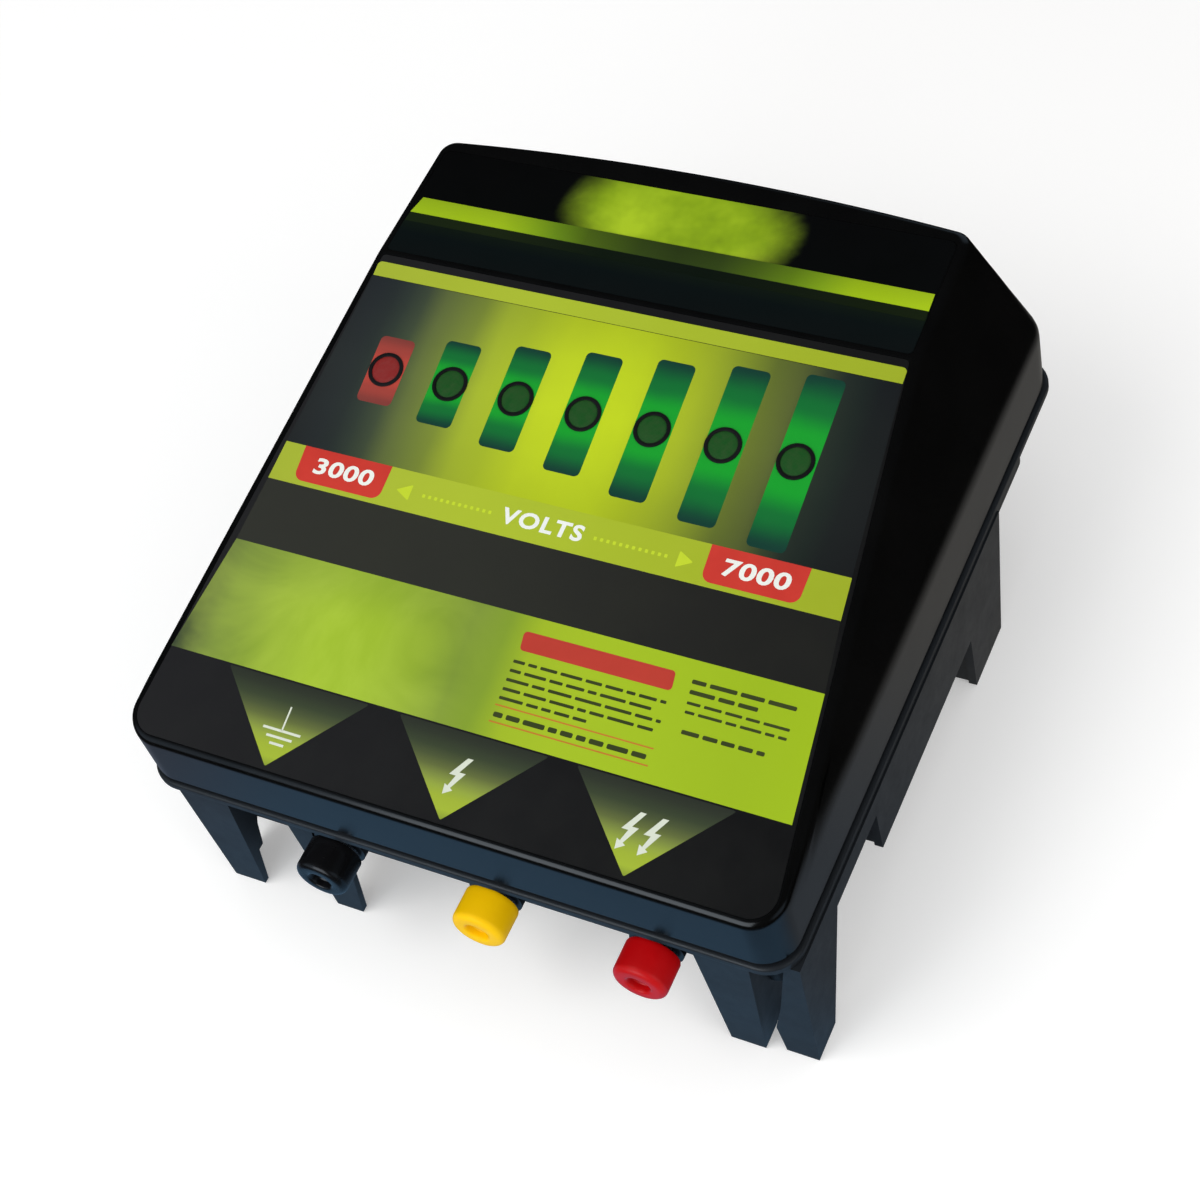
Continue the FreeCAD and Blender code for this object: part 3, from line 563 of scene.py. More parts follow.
def blank_foil():
    mat = Mat("blank_foil")
    noise = mat.noise(scale=60.0, detail=5.0, rough=0.65)
    return mat.set(
        Base_Color=mat.mix(mat.remap(noise, span=(0.3, 0.7)), (176, 178, 180), (196, 198, 200)),
        Roughness=mat.remap(noise, span=(0.3, 0.7), to=(0.32, 0.45)),
        Normal=mat.bump(mat.noise(scale=1200.0), strength=0.06, dist=0.00005))


def fuse_glass():
    mat = Mat("fuse_glass")
    cloud = mat.mottle(scale=300.0, detail=2.0)
    return mat.set(Base_Color=mat.mix(cloud, (212, 222, 226), (228, 236, 238)),
                   Roughness=0.08, Transmission_Weight=0.85, IOR=1.5)


def lens(name, deep, face, haze):
    """Tinted lens with a fine moulded diamond pattern of crossed ribs."""
    mat = Mat(name)
    x, y, _ = mat.xyz()
    rib_pitch = 0.00085     # along x + y and along x - y
    rising = mat.wave(mat.add(x, y), rib_pitch)
    falling = mat.wave(mat.sub(x, y), rib_pitch)
    ribs = mat.remap(mat.mul(rising, falling), span=(-1.0, 1.0))
    cloud = mat.mottle(scale=500.0, detail=3.0, rough=0.6)
    return mat.set(
        Base_Color=mat.mix(mat.mul(cloud, 0.35), mat.mix(ribs, deep, face), haze),
        Normal=mat.bump(ribs, strength=0.15, dist=0.00008),
        Roughness=mat.remap(cloud, span=(0.0, 1.0), to=(0.28, 0.4)),
        Coat_Weight=0.15, Coat_Roughness=0.12, Specular_IOR_Level=0.35)


COVER_BLACK = gloss_black()
BASE_BLACK = satin_black()
BLACK = plastic("black_satin", (17, 17, 18), (24, 24, 26), rough=0.36, grain=1800.0,
                grain_bump=0.08)
KNOB_BLACK = plastic("black_gloss", (10, 10, 11), (15, 15, 17), rough=0.24, grain_bump=0.05)
RED = plastic("knob_red", (190, 4, 10), (178, 2, 6), rough=0.34, specular=0.3)
YELLOW = plastic("knob_yellow", (248, 198, 0), (242, 188, 0), rough=0.38, specular=0.15)
FILM_CAN = plastic("film_can", (196, 168, 60), (178, 148, 44), rough=0.28, grain=2600.0,
                   grain_bump=0.05)
GASKET = rubber("gasket", (18, 18, 19))
SHEATH = rubber("lead_sheath", (22, 22, 23))
STEEL = metal("zinc_steel", (176, 176, 180), rough=0.34)
STAINLESS = metal("stainless", (188, 188, 190), rough=0.26)
BRASS = metal("brass", (205, 172, 98), rough=0.3)
ALUMINIUM = metal("aluminium", (198, 198, 202), rough=0.36, axis=2)
BOARD = circuit_board()
LAMINATIONS = laminations()
WIRE = enamelled_wire()
RIBBON = ribbon()
FOIL = blank_foil()
GLASS = fuse_glass()
LENS_RED = lens("lens_red", (112, 20, 22), (150, 44, 42), (136, 60, 56))
LENS_GREEN = lens("lens_green", (12, 62, 20), (30, 92, 36), (58, 82, 44))

# material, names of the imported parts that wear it
PART_GROUPS = (
    (BOARD, "display_board main_board"),
    (BLACK, "lamp_sockets terminal_bushes fuse_holder mains_terminal_block thyristor"
            " rectifier_diodes mains_transformer_bobbin pulse_transformer_bobbin lead_grommet"
            " lamp_rings"),
    (STEEL, "display_board_screws cover_screws board_screws capacitor_straps"
            " transformer_frame frame_screws"),
    (STAINLESS, "terminal_studs terminal_washers terminal_nuts terminal_locknuts"
                " clamp_washer_earth clamp_washer_low clamp_washer_full"),
    (FILM_CAN, "storage_capacitors filter_capacitor spark_suppressor"),
    (LAMINATIONS, "mains_transformer_core pulse_transformer_core"),
    (WIRE, "mains_transformer_winding pulse_transformer_winding"),
    (SHEATH, "output_leads mains_lead"),
    (BASE_BLACK, "rear_base"), (GASKET, "seal_gasket"), (BRASS, "output_lugs"),
    (GLASS, "fuse"), (ALUMINIUM, "heatsink"), (RIBBON, "ribbon_cable"),
    (FOIL, "rating_plate"), (LENS_RED, "lamp_red"), (LENS_GREEN, "lamps_green"),
    (COVER_BLACK, "front_cover"), (KNOB_BLACK, "terminal_knob_earth"),
    (YELLOW, "terminal_knob_low"), (RED, "terminal_knob_full"),
)
part_materials = {part: material for material, parts in PART_GROUPS for part in parts.split()}
for part, ob in NODES.items():
    if part in part_materials:
        set_mat(ob, part_materials[part])


# ---------------------------------------------------------------------------
# Front cover: one smooth shell.  Its outer form is the meeting of the upright band, the
# leaning sides and the two top panels, with rounded edges.  A grid of rings is laid out on
# the sharp form and then settled onto the rounded one.
# ---------------------------------------------------------------------------
# distances of the rings from the top edge, both inwards on the top and down the wall
EDGE_STEPS = (0.45, 0.9, 1.35, 1.85, 2.4, 3.0, 3.7, 4.4)
WALL_RINGS = 24
WALL_LOW = 1.9                  # height of the lowest wall ring
RIM_Z = 0.8                     # underside of the cover
RIM_ROUND = ((0.0, 1.35), (0.16, 0.98), (0.5, RIM_Z))   # rim rings: step inwards, height
FAR_ANCHOR = (90.0, 229.0)      # centre of the fan of rays at the far corner
CREASE_STEPS = (-1.6, -1.0, -0.5, 0.0, 0.5, 1.0, 1.6)   # y of the rays close to the crease


def outline_distance(x, y, half, near, far, bow, corner):
    """Signed plan distance to a box with a bowed far end and rounded corners."""
    across = np.abs(x)
    bow_r = (half * half + bow * bow) / (2.0 * bow)
    bow_y = far + bow - bow_r
    corner_x = half - corner
    corner_y = bow_y + np.sqrt((bow_r - corner) ** 2 - corner_x * corner_x)
    dist = np.maximum(np.maximum(across - half, near - y), np.hypot(x, y - bow_y) - bow_r)
    in_near = (across > corner_x) & (y < near + corner)
    near_dist = np.hypot(across - corner_x, near + corner - y) - corner
    dist = np.where(in_near, near_dist, dist)
    # the far corner's arc lies outside the line from the bow's centre through its own
    past_line = across * (corner_y - bow_y) - corner_x * (y - bow_y)
    in_far = (y > corner_y) & (past_line > 0)
    return np.where(in_far, np.hypot(across - corner_x, y - corner_y) - corner, dist)


def leaning_outline(z):
    """Outline values of the leaning form at height z."""
    t = (z - LOFT_LOW) / (LOFT_HIGH - LOFT_LOW)

    def blend(low, high):
        return low * (1 - t) + high * t

    half = blend(half_at(LOFT_LOW), half_at(LOFT_HIGH))
    far = blend(FAR_Y - FAR_LEAN * LOFT_LOW, FAR_Y - FAR_LEAN * LOFT_HIGH)
    near = -6.0
    return half, near, far, blend(9.0, 4.4), blend(13.0, 4.0)


def round_max(first, second, radius):
    """Intersection of two distances with the edge rounded."""
    over_1 = np.maximum(radius + first, 0.0)
    over_2 = np.maximum(radius + second, 0.0)
    inside = np.minimum(-radius, np.maximum(first, second))
    return inside + np.sqrt(over_1 * over_1 + over_2 * over_2)


def form(points):
    """Signed distance to the rounded outer form, near enough for settling."""
    x, y, z = points[:, 0], points[:, 1], points[:, 2]
    band = outline_distance(x, y, *BAND)
    # scaled for the slant of the leaning walls
    leaning = outline_distance(x, y, *leaning_outline(z)) * 0.93
    side = round_max(band, leaning, SIDE_R)
    panel = (z - PANEL_Z0 - PANEL_RISE * y) * math.cos(PANEL_TILT)
    header = (z - CREASE_Z - HEADER_RISE * (y - CREASE_Y)) * math.cos(HEADER_TILT)
    return round_max(side, round_max(panel, header, CREASE_R), EDGE_R)


def gradient(points, step=0.02):
    slope = np.zeros_like(points)
    for k in range(3):
        offset = np.zeros(3)
        offset[k] = step
        slope[:, k] = (form(points + offset) - form(points - offset)) / (2 * step)
    return slope


def settle(points, level, rounds):
    """Move points along the gradient until the form's distance is the level."""
    points = points.copy()
    for _ in range(rounds):
        slope = gradient(points)
        error = form(points) - level
        steep = np.maximum((slope * slope).sum(1), 1e-4)
        points -= (error / steep)[:, None] * slope * 0.95
    return points


def top_z(y):
    return np.minimum(PANEL_Z0 + PANEL_RISE * y, CREASE_Z + HEADER_RISE * (y - CREASE_Y))


def reach(anchors, outward, height):
    """Distance from each anchor to the sharp side form; height gives z for an array of y."""
    low, high = np.zeros(len(anchors)), np.full(len(anchors), 200.0)
    for _ in range(50):
        mid = (low + high) / 2
        x = anchors[:, 0] + outward[:, 0] * mid
        y = anchors[:, 1] + outward[:, 1] * mid
        leaning = outline_distance(x, y, *leaning_outline(height(y)))
        inside = np.maximum(outline_distance(x, y, *BAND), leaning) < 0
        low = np.where(inside, mid, low)
        high = np.where(inside, high, mid)
    return (low + high) / 2


def perimeter():
    """Anchors and outward plan directions, anticlockwise from the middle of the near end."""
    near_x, near_y = BAND_HALF - BAND_CORNER, BAND_NEAR + BAND_CORNER
    far_x, far_y = FAR_ANCHOR
    side_y = [*np.linspace(near_y, CREASE_Y - 3.0, 24), *(CREASE_Y + s for s in CREASE_STEPS),
              *np.linspace(CREASE_Y + 3.0, far_y, 8)[:-1]]
    # anchor x, anchor y, direction x, direction y
    rays = [(x, 60.0, 0, -1) for x in np.linspace(0, near_x, 15)[:-1]]
    rays += [(near_x, near_y, math.cos(t), math.sin(t))
             for t in np.linspace(-math.pi / 2, 0, 13)[:-1]]
    rays += [(60.0, y, 1, 0) for y in side_y]
    rays += [(far_x, far_y, math.cos(t), math.sin(t))
             for t in np.linspace(0, math.pi / 2, 21)[:-1]]
    rays += [(x, 200.0, 0, 1) for x in np.linspace(far_x, 0, 19)[:-1]]
    rays = np.array(rays)
    # close with the far centre ray and the mirror image, less the near centre ray
    rays = np.vstack([rays, [[0.0, 200.0, 0.0, 1.0]], (rays * [-1, 1, -1, 1])[:0:-1]])
    return rays[:, :2], rays[:, 2:]


def sharp_rings(anchors, outward):
    """Rings on the sharp form, from the top's middle over the edge and down the wall."""

    def ring_at(z):
        dist = reach(anchors, outward, lambda y: z)
        return np.c_[anchors + outward * dist[:, None], z]

    edge = anchors + outward * reach(anchors, outward, top_z)[:, None]
    edge_z = top_z(edge[:, 1])
    rings = []
    for step in (5.2, *EDGE_STEPS[::-1], 0.0):
        inset = edge - outward * step
        rings.append(np.c_[inset, top_z(inset[:, 1])])
    rings += [ring_at(edge_z - step) for step in EDGE_STEPS]

    # where the wall is tall, rings are gathered between 36 and 19 mm; elsewhere evenly spaced
    tall = np.clip((edge_z - 28.0) / 12.0, 0, 1)
    tall = tall * tall * (3 - 2 * tall)
    high = edge_z - EDGE_STEPS[-1]
    for k in range(1, WALL_RINGS + 1):
        t = k / WALL_RINGS
        even = high + (WALL_LOW - high) * t
        if t <= 0.3:
            gathered = high + (36.0 - high) * (t / 0.3)
        elif t <= 0.82:
            gathered = 36.0 + (19.0 - 36.0) * ((t - 0.3) / 0.52)
        else:
            gathered = 19.0 + (WALL_LOW - 19.0) * ((t - 0.82) / 0.18)
        rings.append(ring_at(even * (1 - tall) + gathered * tall))
    return rings


def cover_mesh():
    anchors, outward = perimeter()
    count = len(anchors)
    rings = sharp_rings(anchors, outward)
    points = settle(np.vstack(rings), 0.0, 10)
    outer = points.reshape(len(rings), count, 3)
    outer[:, np.abs(anchors[:, 0]) < 1e-9, 0] = 0.0

    # small rounded edge at the parting line
    last = outer[-1].copy()
    away = gradient(last)
    away[:, 2] = 0
    away /= np.linalg.norm(away, axis=1)[:, None]
    rim = []
    for step, z in RIM_ROUND:
        ring = last - away * step
        ring[:, 2] = z
        rim.append(ring)

    inner = settle(points, -COVER_T, 14).reshape(len(rings), count, 3)
    inner[-1][:, 2] = RIM_Z
    shell = [*outer, *rim, *inner[::-1]]
    faces = []
    for i in range(len(shell) - 1):
        for j in range(count):
            k = (j + 1) % count
            faces.append((i * count + j, i * count + k, (i + 1) * count + k, (i + 1) * count + j))

    # fill the outer and inner top: two flat faces, and strips across the crease
    def crease_rays(side):
        close = [j for j in range(count)
                 if outward[j, 0] == side and abs(anchors[j, 1] - CREASE_Y) < 1.7]
        return sorted(close, key=lambda j: anchors[j, 1])

    right, left = crease_rays(1.0), crease_rays(-1.0)
    for base in (0, (len(shell) - 1) * count):
        near = [*range(left[0], count), *range(right[0] + 1)]
        faces.append(tuple(base + j for j in near))
        faces.append(tuple(base + j for j in range(right[-1], left[-1] + 1)))
        for i in range(len(right) - 1):
            quad = (right[i], right[i + 1], left[i + 1], left[i])
            faces.append(tuple(base + j for j in quad))
    return np.vstack(shell), faces


# Recesses for the label sheets
LABEL_MARGIN = 2.6                                  # from the leaning sides
PANEL_LABEL_Y = (3.2, CREASE_Y / math.cos(PANEL_TILT) - 1.0)
HEADER_LABEL_Y = (1.0, 49.0)
RECESS = (-0.4, 4.0)                                # lifts of the cutter's ends

# Pillars for the cover screws: x, y
SCREWS = [(-103.0, 26.0), (103.0, 26.0), (-103.0, 132.0), (103.0, 132.0), (-93.0, 229.0),
          (93.0, 229.0)]
PILLAR_R, BORE_R = 4.6, 1.5


def sheet_outline(place, y_range, radii, seg):
    y0, y1 = y_range
    half0, half1 = (half_at(place(0.0, y)[2]) - LABEL_MARGIN for y in y_range)
    return rounded(strip(-half0, half0, y0, y1, top=(-half1, half1)), radii, seg)


def pillar_top(x, y):
    """A little into the top wall, but kept inside the leaning side."""
    below = float(top_z(y)) - COVER_T - 0.3
    return min(below + 1.5, (SIDE_HALF - 1.2 - abs(x) - PILLAR_R) / SIDE_LEAN)


def boolean(ob, tools, operation):
    for tool in tools:
        add_mod(ob, "BOOLEAN", tool.name, operation=operation, solver="EXACT", object=tool)


def build_cover():
    cover = smooth_object("front_cover_shell", *cover_mesh(), "housing", "cover_plastic",
                          COVER_BLACK)
    panel_sheet = sheet_outline(on_panel, PANEL_LABEL_Y, [8.5, 8.5, 1.5, 1.5], 10)
    header_sheet = sheet_outline(on_header, HEADER_LABEL_Y, [1.5, 1.5, 3.0, 3.0], 8)
    cutters = [prism("cut_a", on_panel, panel_sheet, *RECESS),
               prism("cut_b", on_header, header_sheet, *RECESS)]
    cutters += [prism("cut_h%d" % i, on_panel, circle(x, LAMP_Y, HOLE_R, 64), -8.0, 5.0)
                for i, x in enumerate(LAMP_X)]
    boolean(cover, cutters, "DIFFERENCE")
    apply_mods(cover)

    pillars = [upright_rod("pil%d" % i, x, y, RIM_Z, pillar_top(x, y), PILLAR_R)
               for i, (x, y) in enumerate(SCREWS)]
    bores = [upright_rod("bore%d" % i, x, y, -1.0, 18.0, BORE_R)
             for i, (x, y) in enumerate(SCREWS)]
    boolean(cover, pillars, "UNION")
    boolean(cover, bores, "DIFFERENCE")
    apply_mods(cover)
    for tool in cutters + pillars + bores:
        bpy.data.objects.remove(tool)

    shade_smooth(cover.data, 32)
    add_mod(cover, "WEIGHTED_NORMAL", "flat_panels", keep_sharp=True, weight=100)
    apply_mods(cover)
    # leave a single slot, whatever the booleans added
    set_mat(cover, COVER_BLACK)
    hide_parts("front_cover")


build_cover()


# ---------------------------------------------------------------------------
# Label materials.  Tone tables: place in mm (x, or y up the panel), then sRGB.
# ---------------------------------------------------------------------------
# Front label ground by x: black, lighter on the left and darker on the right; this slope is
# painted light falloff
GROUND_TONES_PAINTED_FALLOFF = [(-115, 31, 31, 33), (0, 24, 24, 26), (115, 17, 17, 18)]     # by x
FIELD_TONES = [     # by x
    (-104, 38, 42, 43), (-94, 41, 47, 48), (-88, 43, 51, 49), (-82, 51, 62, 53),
    (-75, 66, 79, 57), (-67, 100, 114, 58), (-61, 110, 126, 55), (-52, 124, 141, 49),
    (-42, 161, 179, 41), (-32, 168, 187, 34), (-18, 189, 209, 25), (0, 193, 214, 21),
    (12, 190, 211, 20), (24, 176, 195, 25), (34, 163, 181, 31), (44, 140, 158, 35),
    (56, 104, 119, 41), (65, 92, 104, 46), (73, 62, 74, 45), (80, 40, 51, 42),
    (87, 33, 43, 38), (93, 30, 35, 35), (106, 28, 30, 32)]
BAND_TONES = [(-106, 158, 172, 45), (-30, 168, 186, 41), (20, 164, 182, 36),
              (106, 152, 168, 28)]      # by x
TITLE_TONES = [(-108, 46, 47, 42), (-20, 43, 44, 39), (50, 34, 34, 32), (108, 27, 27, 27)]  # by x
GREEN_TONES = [     # by x
    (-112, 46, 58, 46), (-107, 70, 85, 52), (-101, 99, 121, 51), (-92, 112, 137, 45),
    (-80, 138, 166, 42), (-60, 152, 183, 36), (-42, 152, 182, 40), (-26, 134, 162, 36),
    (-12, 110, 136, 42), (0, 124, 152, 38), (12, 156, 181, 29), (30, 160, 187, 27),
    (60, 157, 186, 21), (90, 152, 181, 18), (112, 154, 184, 16)]
MARKER_TONES = [    # by y
    (4, 120, 138, 44), (8, 158, 178, 48), (12, 154, 173, 47), (15, 143, 161, 58),
    (18, 122, 137, 60), (21, 94, 105, 54), (24, 73, 84, 50), (27, 56, 67, 45),
    (31, 46, 53, 41), (35, 40, 44, 38)]
HEADER_TONES = [(0, 10, 16, 17), (10, 7, 17, 18), (16, 14, 26, 16), (18, 6, 8, 7),
                (27, 4, 5, 5), (50, 4, 4, 4)]       # by y
HEADER_BAR_TONES = [    # by x
    (-98, 154, 186, 5), (-62, 156, 188, 5), (-52, 138, 172, 6), (-40, 104, 140, 9),
    (-28, 76, 102, 12), (-8, 52, 72, 18), (6, 44, 62, 16), (22, 50, 70, 18),
    (36, 72, 98, 11), (48, 94, 126, 7), (58, 122, 157, 6), (70, 154, 186, 3),
    (98, 168, 200, 4)]
HEADER_SHADE_TONES = [(-98, 24, 37, 14), (-60, 26, 38, 14), (-20, 14, 26, 14),
                      (20, 11, 22, 12), (98, 22, 34, 10)]   # by x

# Linear multipliers: share of the height, colour
FIELD_SHADING = [(0.0, (0.80, 0.80, 0.84, 1)), (0.25, (0.93, 0.93, 0.95, 1)),
                 (0.5, (1, 1, 1, 1)), (0.75, (0.93, 0.93, 0.97, 1)), (1.0, (0.78, 0.78, 0.9, 1))]
HEADER_BAR_SHADING = [(0.0, (0.88, 0.88, 0.88, 1)), (0.3, (1.04, 1.04, 1.0, 1)),
                      (0.75, (0.92, 0.92, 0.9, 1)), (1.0, (0.84, 0.84, 0.84, 1))]


def label_finish(mat, color):
    """Satin printed surface in the given colour; returns the material."""
    grain = mat.noise(scale=900.0, rough=0.6)
    return mat.set(Base_Color=color, Specular_IOR_Level=0.3,
                   Roughness=mat.mottle(scale=70.0, detail=4.0, rough=0.6, to=(0.37, 0.47)),
                   Normal=mat.bump(grain, strength=0.05, dist=0.00006))


def ink(name, color, color_2):
    mat = Mat(name)
    cloud = mat.mottle(scale=45.0, detail=4.0, rough=0.6)
    return label_finish(mat, mat.mix(cloud, color, color_2))


def graded_ink(name, table, cloud_color, strength, **cloud):
    """Tones across x, clouded with a second colour."""
    mat = Mat(name)
    color = mat.tones(mat.panel_x(), table)
    return label_finish(mat, mat.mix(mat.mul(mat.mottle(**cloud), strength), color, cloud_color))


def field_ink():
    """Lamp field: slate at both sides, a yellow-green glow in the middle."""
    mat = Mat("print_field")
    warp = mat.wobble(4.0, scale=26.0)
    color = mat.tones(mat.add(mat.panel_x(), warp), FIELD_TONES, start=-106)
    shading = mat.ramp(mat.remap(mat.panel_y(), span=(114, 182)), FIELD_SHADING)
    cloud = mat.ramp(mat.noise(scale=16.0, detail=4.0, rough=0.55),
                     [(0.3, (0.93, 0.93, 0.93, 1)), (0.7, (1.06, 1.06, 1.03, 1))])
    return label_finish(mat, mat.tint(mat.tint(color, shading), cloud))


def bar_ink(name, dark, mid, bright, half):
    """Lamp bar: bright at the lamp, darker towards both ends."""
    mat = Mat(name)
    off_lamp = mat.math("ABSOLUTE", mat.sub(mat.panel_y(), LAMP_Y))
    share = mat.math("DIVIDE", off_lamp, half)
    stops = [(0.0, bright), (0.30, bright), (0.62, mid), (1.0, dark)]
    return label_finish(mat, mat.ramp(mat.add(share, mat.wobble(0.12, scale=60.0)), stops, "EASE"))


def green_ink():
    """Lower green block: clouded and shaded on the left, flat bright on the right."""
    mat = Mat("print_green")
    x = mat.panel_x()
    warp = mat.wobble(9.0, scale=20.0, detail=4.0, rough=0.6)
    color = mat.tones(mat.add(x, warp), GREEN_TONES)
    left = mat.remap(x, span=(-20, 6), to=(1.0, 0.0), smooth=True)
    cloud = mat.mottle(scale=16.0, detail=5.0, rough=0.62, distortion=0.8, span=(0.38, 0.68))
    glow = mat.mul(mat.mul(cloud, left), 0.45)
    color = mat.mix(glow, color, (190, 214, 78))
    height = mat.remap(mat.panel_y(), span=(34, 76))
    upper = mat.remap(height, span=(0.55, 1.0), smooth=True)
    shade = mat.mul(mat.mul(upper, left), 0.25)
    return label_finish(mat, mat.mix(shade, color, (78, 96, 50)))


def marker_ink():
    """Down-pointing markers: they fade out upwards from the tip."""
    mat = Mat("print_tri")
    return label_finish(mat, mat.tones(mat.panel_y(), MARKER_TONES))


def header_ground():
    """Dark header sheet with a soft green glow behind its middle."""
    mat = Mat("header_ground")
    x, y = mat.panel_x(), mat.panel_y(header=True)
    ground = mat.tones(y, HEADER_TONES)
    # the glow is centred on (1, 37), 46 wide and 19 high to each side
    glow_x = mat.math("DIVIDE", mat.sub(x, 1.0), 46.0)
    glow_y = mat.math("DIVIDE", mat.sub(y, 37.0), 19.0)
    wobble = mat.wobble(0.55, scale=28.0, detail=5.0, rough=0.65, distortion=0.5)
    # 2.6 flattens the middle across x; 0.55 slows the fading along y
    spread = mat.add(mat.math("POWER", mat.math("ABSOLUTE", glow_x), 2.6),
                     mat.mul(mat.mul(glow_y, glow_y), 0.55))
    glow = mat.remap(mat.add(spread, wobble), span=(0.25, 1.05), to=(1.0, 0.0), smooth=True)
    above_bar = mat.remap(y, span=(24.5, 27.0), smooth=True)
    color = mat.ramp(mat.mottle(scale=24.0, detail=4.0, rough=0.6),
                     [(0.0, (96, 120, 10)), (0.55, (138, 170, 8)), (1.0, (172, 202, 28))])
    return label_finish(mat, mat.mix(mat.mul(glow, above_bar), ground, color))


def header_bar_ink():
    mat = Mat("print_header_bar")
    color = mat.tones(mat.panel_x(), HEADER_BAR_TONES)
    height = mat.remap(mat.panel_y(header=True), span=(17, 26.5))
    return label_finish(mat, mat.tint(color, mat.ramp(height, HEADER_BAR_SHADING)))


def header_shade_ink():
    mat = Mat("print_header_shade")
    return label_finish(mat, mat.tones(mat.panel_x(), HEADER_SHADE_TONES))


# Front label sheet: black ground with painted light falloff across x, lighter on the left
set_mat(NODES["front_label"], graded_ink(
    "label_ground_painted_falloff", GROUND_TONES_PAINTED_FALLOFF, (48, 50, 46), strength=0.12, scale=40.0, detail=5.0,
    rough=0.65, span=(0.35, 0.65)))
set_mat(NODES["header_label"], header_ground())

# ---------------------------------------------------------------------------
# Label art: thin ink layers over the two label sheets
# ---------------------------------------------------------------------------
# lifts of each layer's underside and face; each starts a little inside the one below
INK_1 = (-0.03, 0.05)
INK_2 = (INK_1[1] - 0.02, 0.08)
INK_3 = (INK_2[1] - 0.02, 0.11)


def print_piece(name, place, outlines, layer, material, holes=()):
    bm = bmesh.new()
    for outline in outlines:
        slab(bm, place, [outline, *holes], *layer)
    bmesh.ops.recalc_face_normals(bm, faces=bm.faces)
    dress(bmesh_object(name, bm), "housing", material)


def art_edges(y):
    """Left and right edge of the printed art at height y."""
    left = np.interp(y, [34.6, 52, 71, 100, 114.4, 181.6],
                     [-114.0, -110.8, -107.6, -105.2, -104.2, -98.6])
    right = np.interp(y, [34.6, 73.8, 79.6, 100, 115, 182],
                      [112.6, 108.9, 108.2, 105.6, 104.3, 98.5])
    return left, right


FIELD = field_ink()
LIME_BAND = graded_ink("print_band", BAND_TONES, (182, 198, 62), strength=0.15,
                       scale=30.0, detail=4.0, rough=0.55)
TITLE = graded_ink("print_title", TITLE_TONES, (60, 63, 46), strength=0.10,
                   scale=26.0, detail=4.0, rough=0.6)
GREEN = green_ink()
MARKER = marker_ink()

# Full-width bands: name, y range, corner radii, material, holes
lamp_holes = [circle(x, LAMP_Y, HOLE_R) for x in LAMP_X]
for name, y0, y1, radii, material, holes in (
        ("print_lamp_field", 114.6, 181.55, 0, FIELD, lamp_holes),
        ("print_top_bar", 181.75, 187.4, (0, 0, 1.6, 1.6), LIME_BAND, ()),
        ("print_volt_band", 100.2, 114.6, 0, LIME_BAND, ()),
        ("print_title_band", 76.4, 100.2, 0, TITLE, ()),
        ("print_green_block", 34.4, 76.4, 0, GREEN, ())):
    outline = rounded(strip(*art_edges(y0), y0, y1, top=art_edges(y1)), radii)
    print_piece(name, on_panel, [outline], INK_1, material, holes)

# Lamp bars, growing to the right: middle x, lower y, upper y
BARS = [(-78.6, 135.1, 160.3), (-53.8, 132.2, 163.6), (-28.2, 129.0, 167.0),
        (-2.6, 126.0, 170.2), (23.0, 122.4, 173.0), (48.7, 119.6, 176.2), (74.0, 116.9, 178.6)]
BAR_HALF, BAR_CORNER = 6.75, 1.9
for i, (x, y0, y1) in enumerate(BARS):
    if i == 0:
        name, colors = "print_bar_red", ((128, 56, 50), (158, 62, 53), (180, 66, 54))
    else:
        name, colors = "print_bar_green_%d" % i, ((14, 62, 50), (6, 112, 48), (10, 158, 40))
    print_piece("print_bar_%d" % (i + 1), on_panel,
                [rounded(strip(x - BAR_HALF, x + BAR_HALF, y0, y1), BAR_CORNER)], INK_2,
                bar_ink(name, *colors, half=y1 - LAMP_Y), [lamp_holes[i]])

# Red tabs behind the two end values, rounded at the lower corners
TAB_RED = ink("print_tab_red", (204, 56, 44), (192, 48, 38))
print_piece("print_tabs", on_panel,
            [rounded(strip(x0 + 0.4, x1 - 0.4, 101.9, 114.6, top=(x0, x1)),
                     [3.4, 3.4, 0, 0], 8) for x0, x1 in ((-96.2, -61.6), (56.8, 91.0))],
            INK_2, TAB_RED)

# Down-pointing triangles towards the terminals
MARKER_LOW, MARKER_HIGH = 4.6, 33.8
MARKER_HALF = (MARKER_HIGH - MARKER_LOW) * 0.935
print_piece("print_terminal_markers", on_panel,
            [rounded([(x, MARKER_LOW), (x + MARKER_HALF, MARKER_HIGH),
                      (x - MARKER_HALF, MARKER_HIGH)], [0.5, 0.4, 0.4], 3)
             for x in (-62.7, 3.2, 67.6)], INK_1, MARKER)

WHITE = ink("print_white", (236, 240, 234), (228, 232, 226))
LIME = ink("print_lime", (194, 214, 44), (188, 208, 40))
PALE = ink("print_pale", (216, 222, 206), (206, 213, 196))


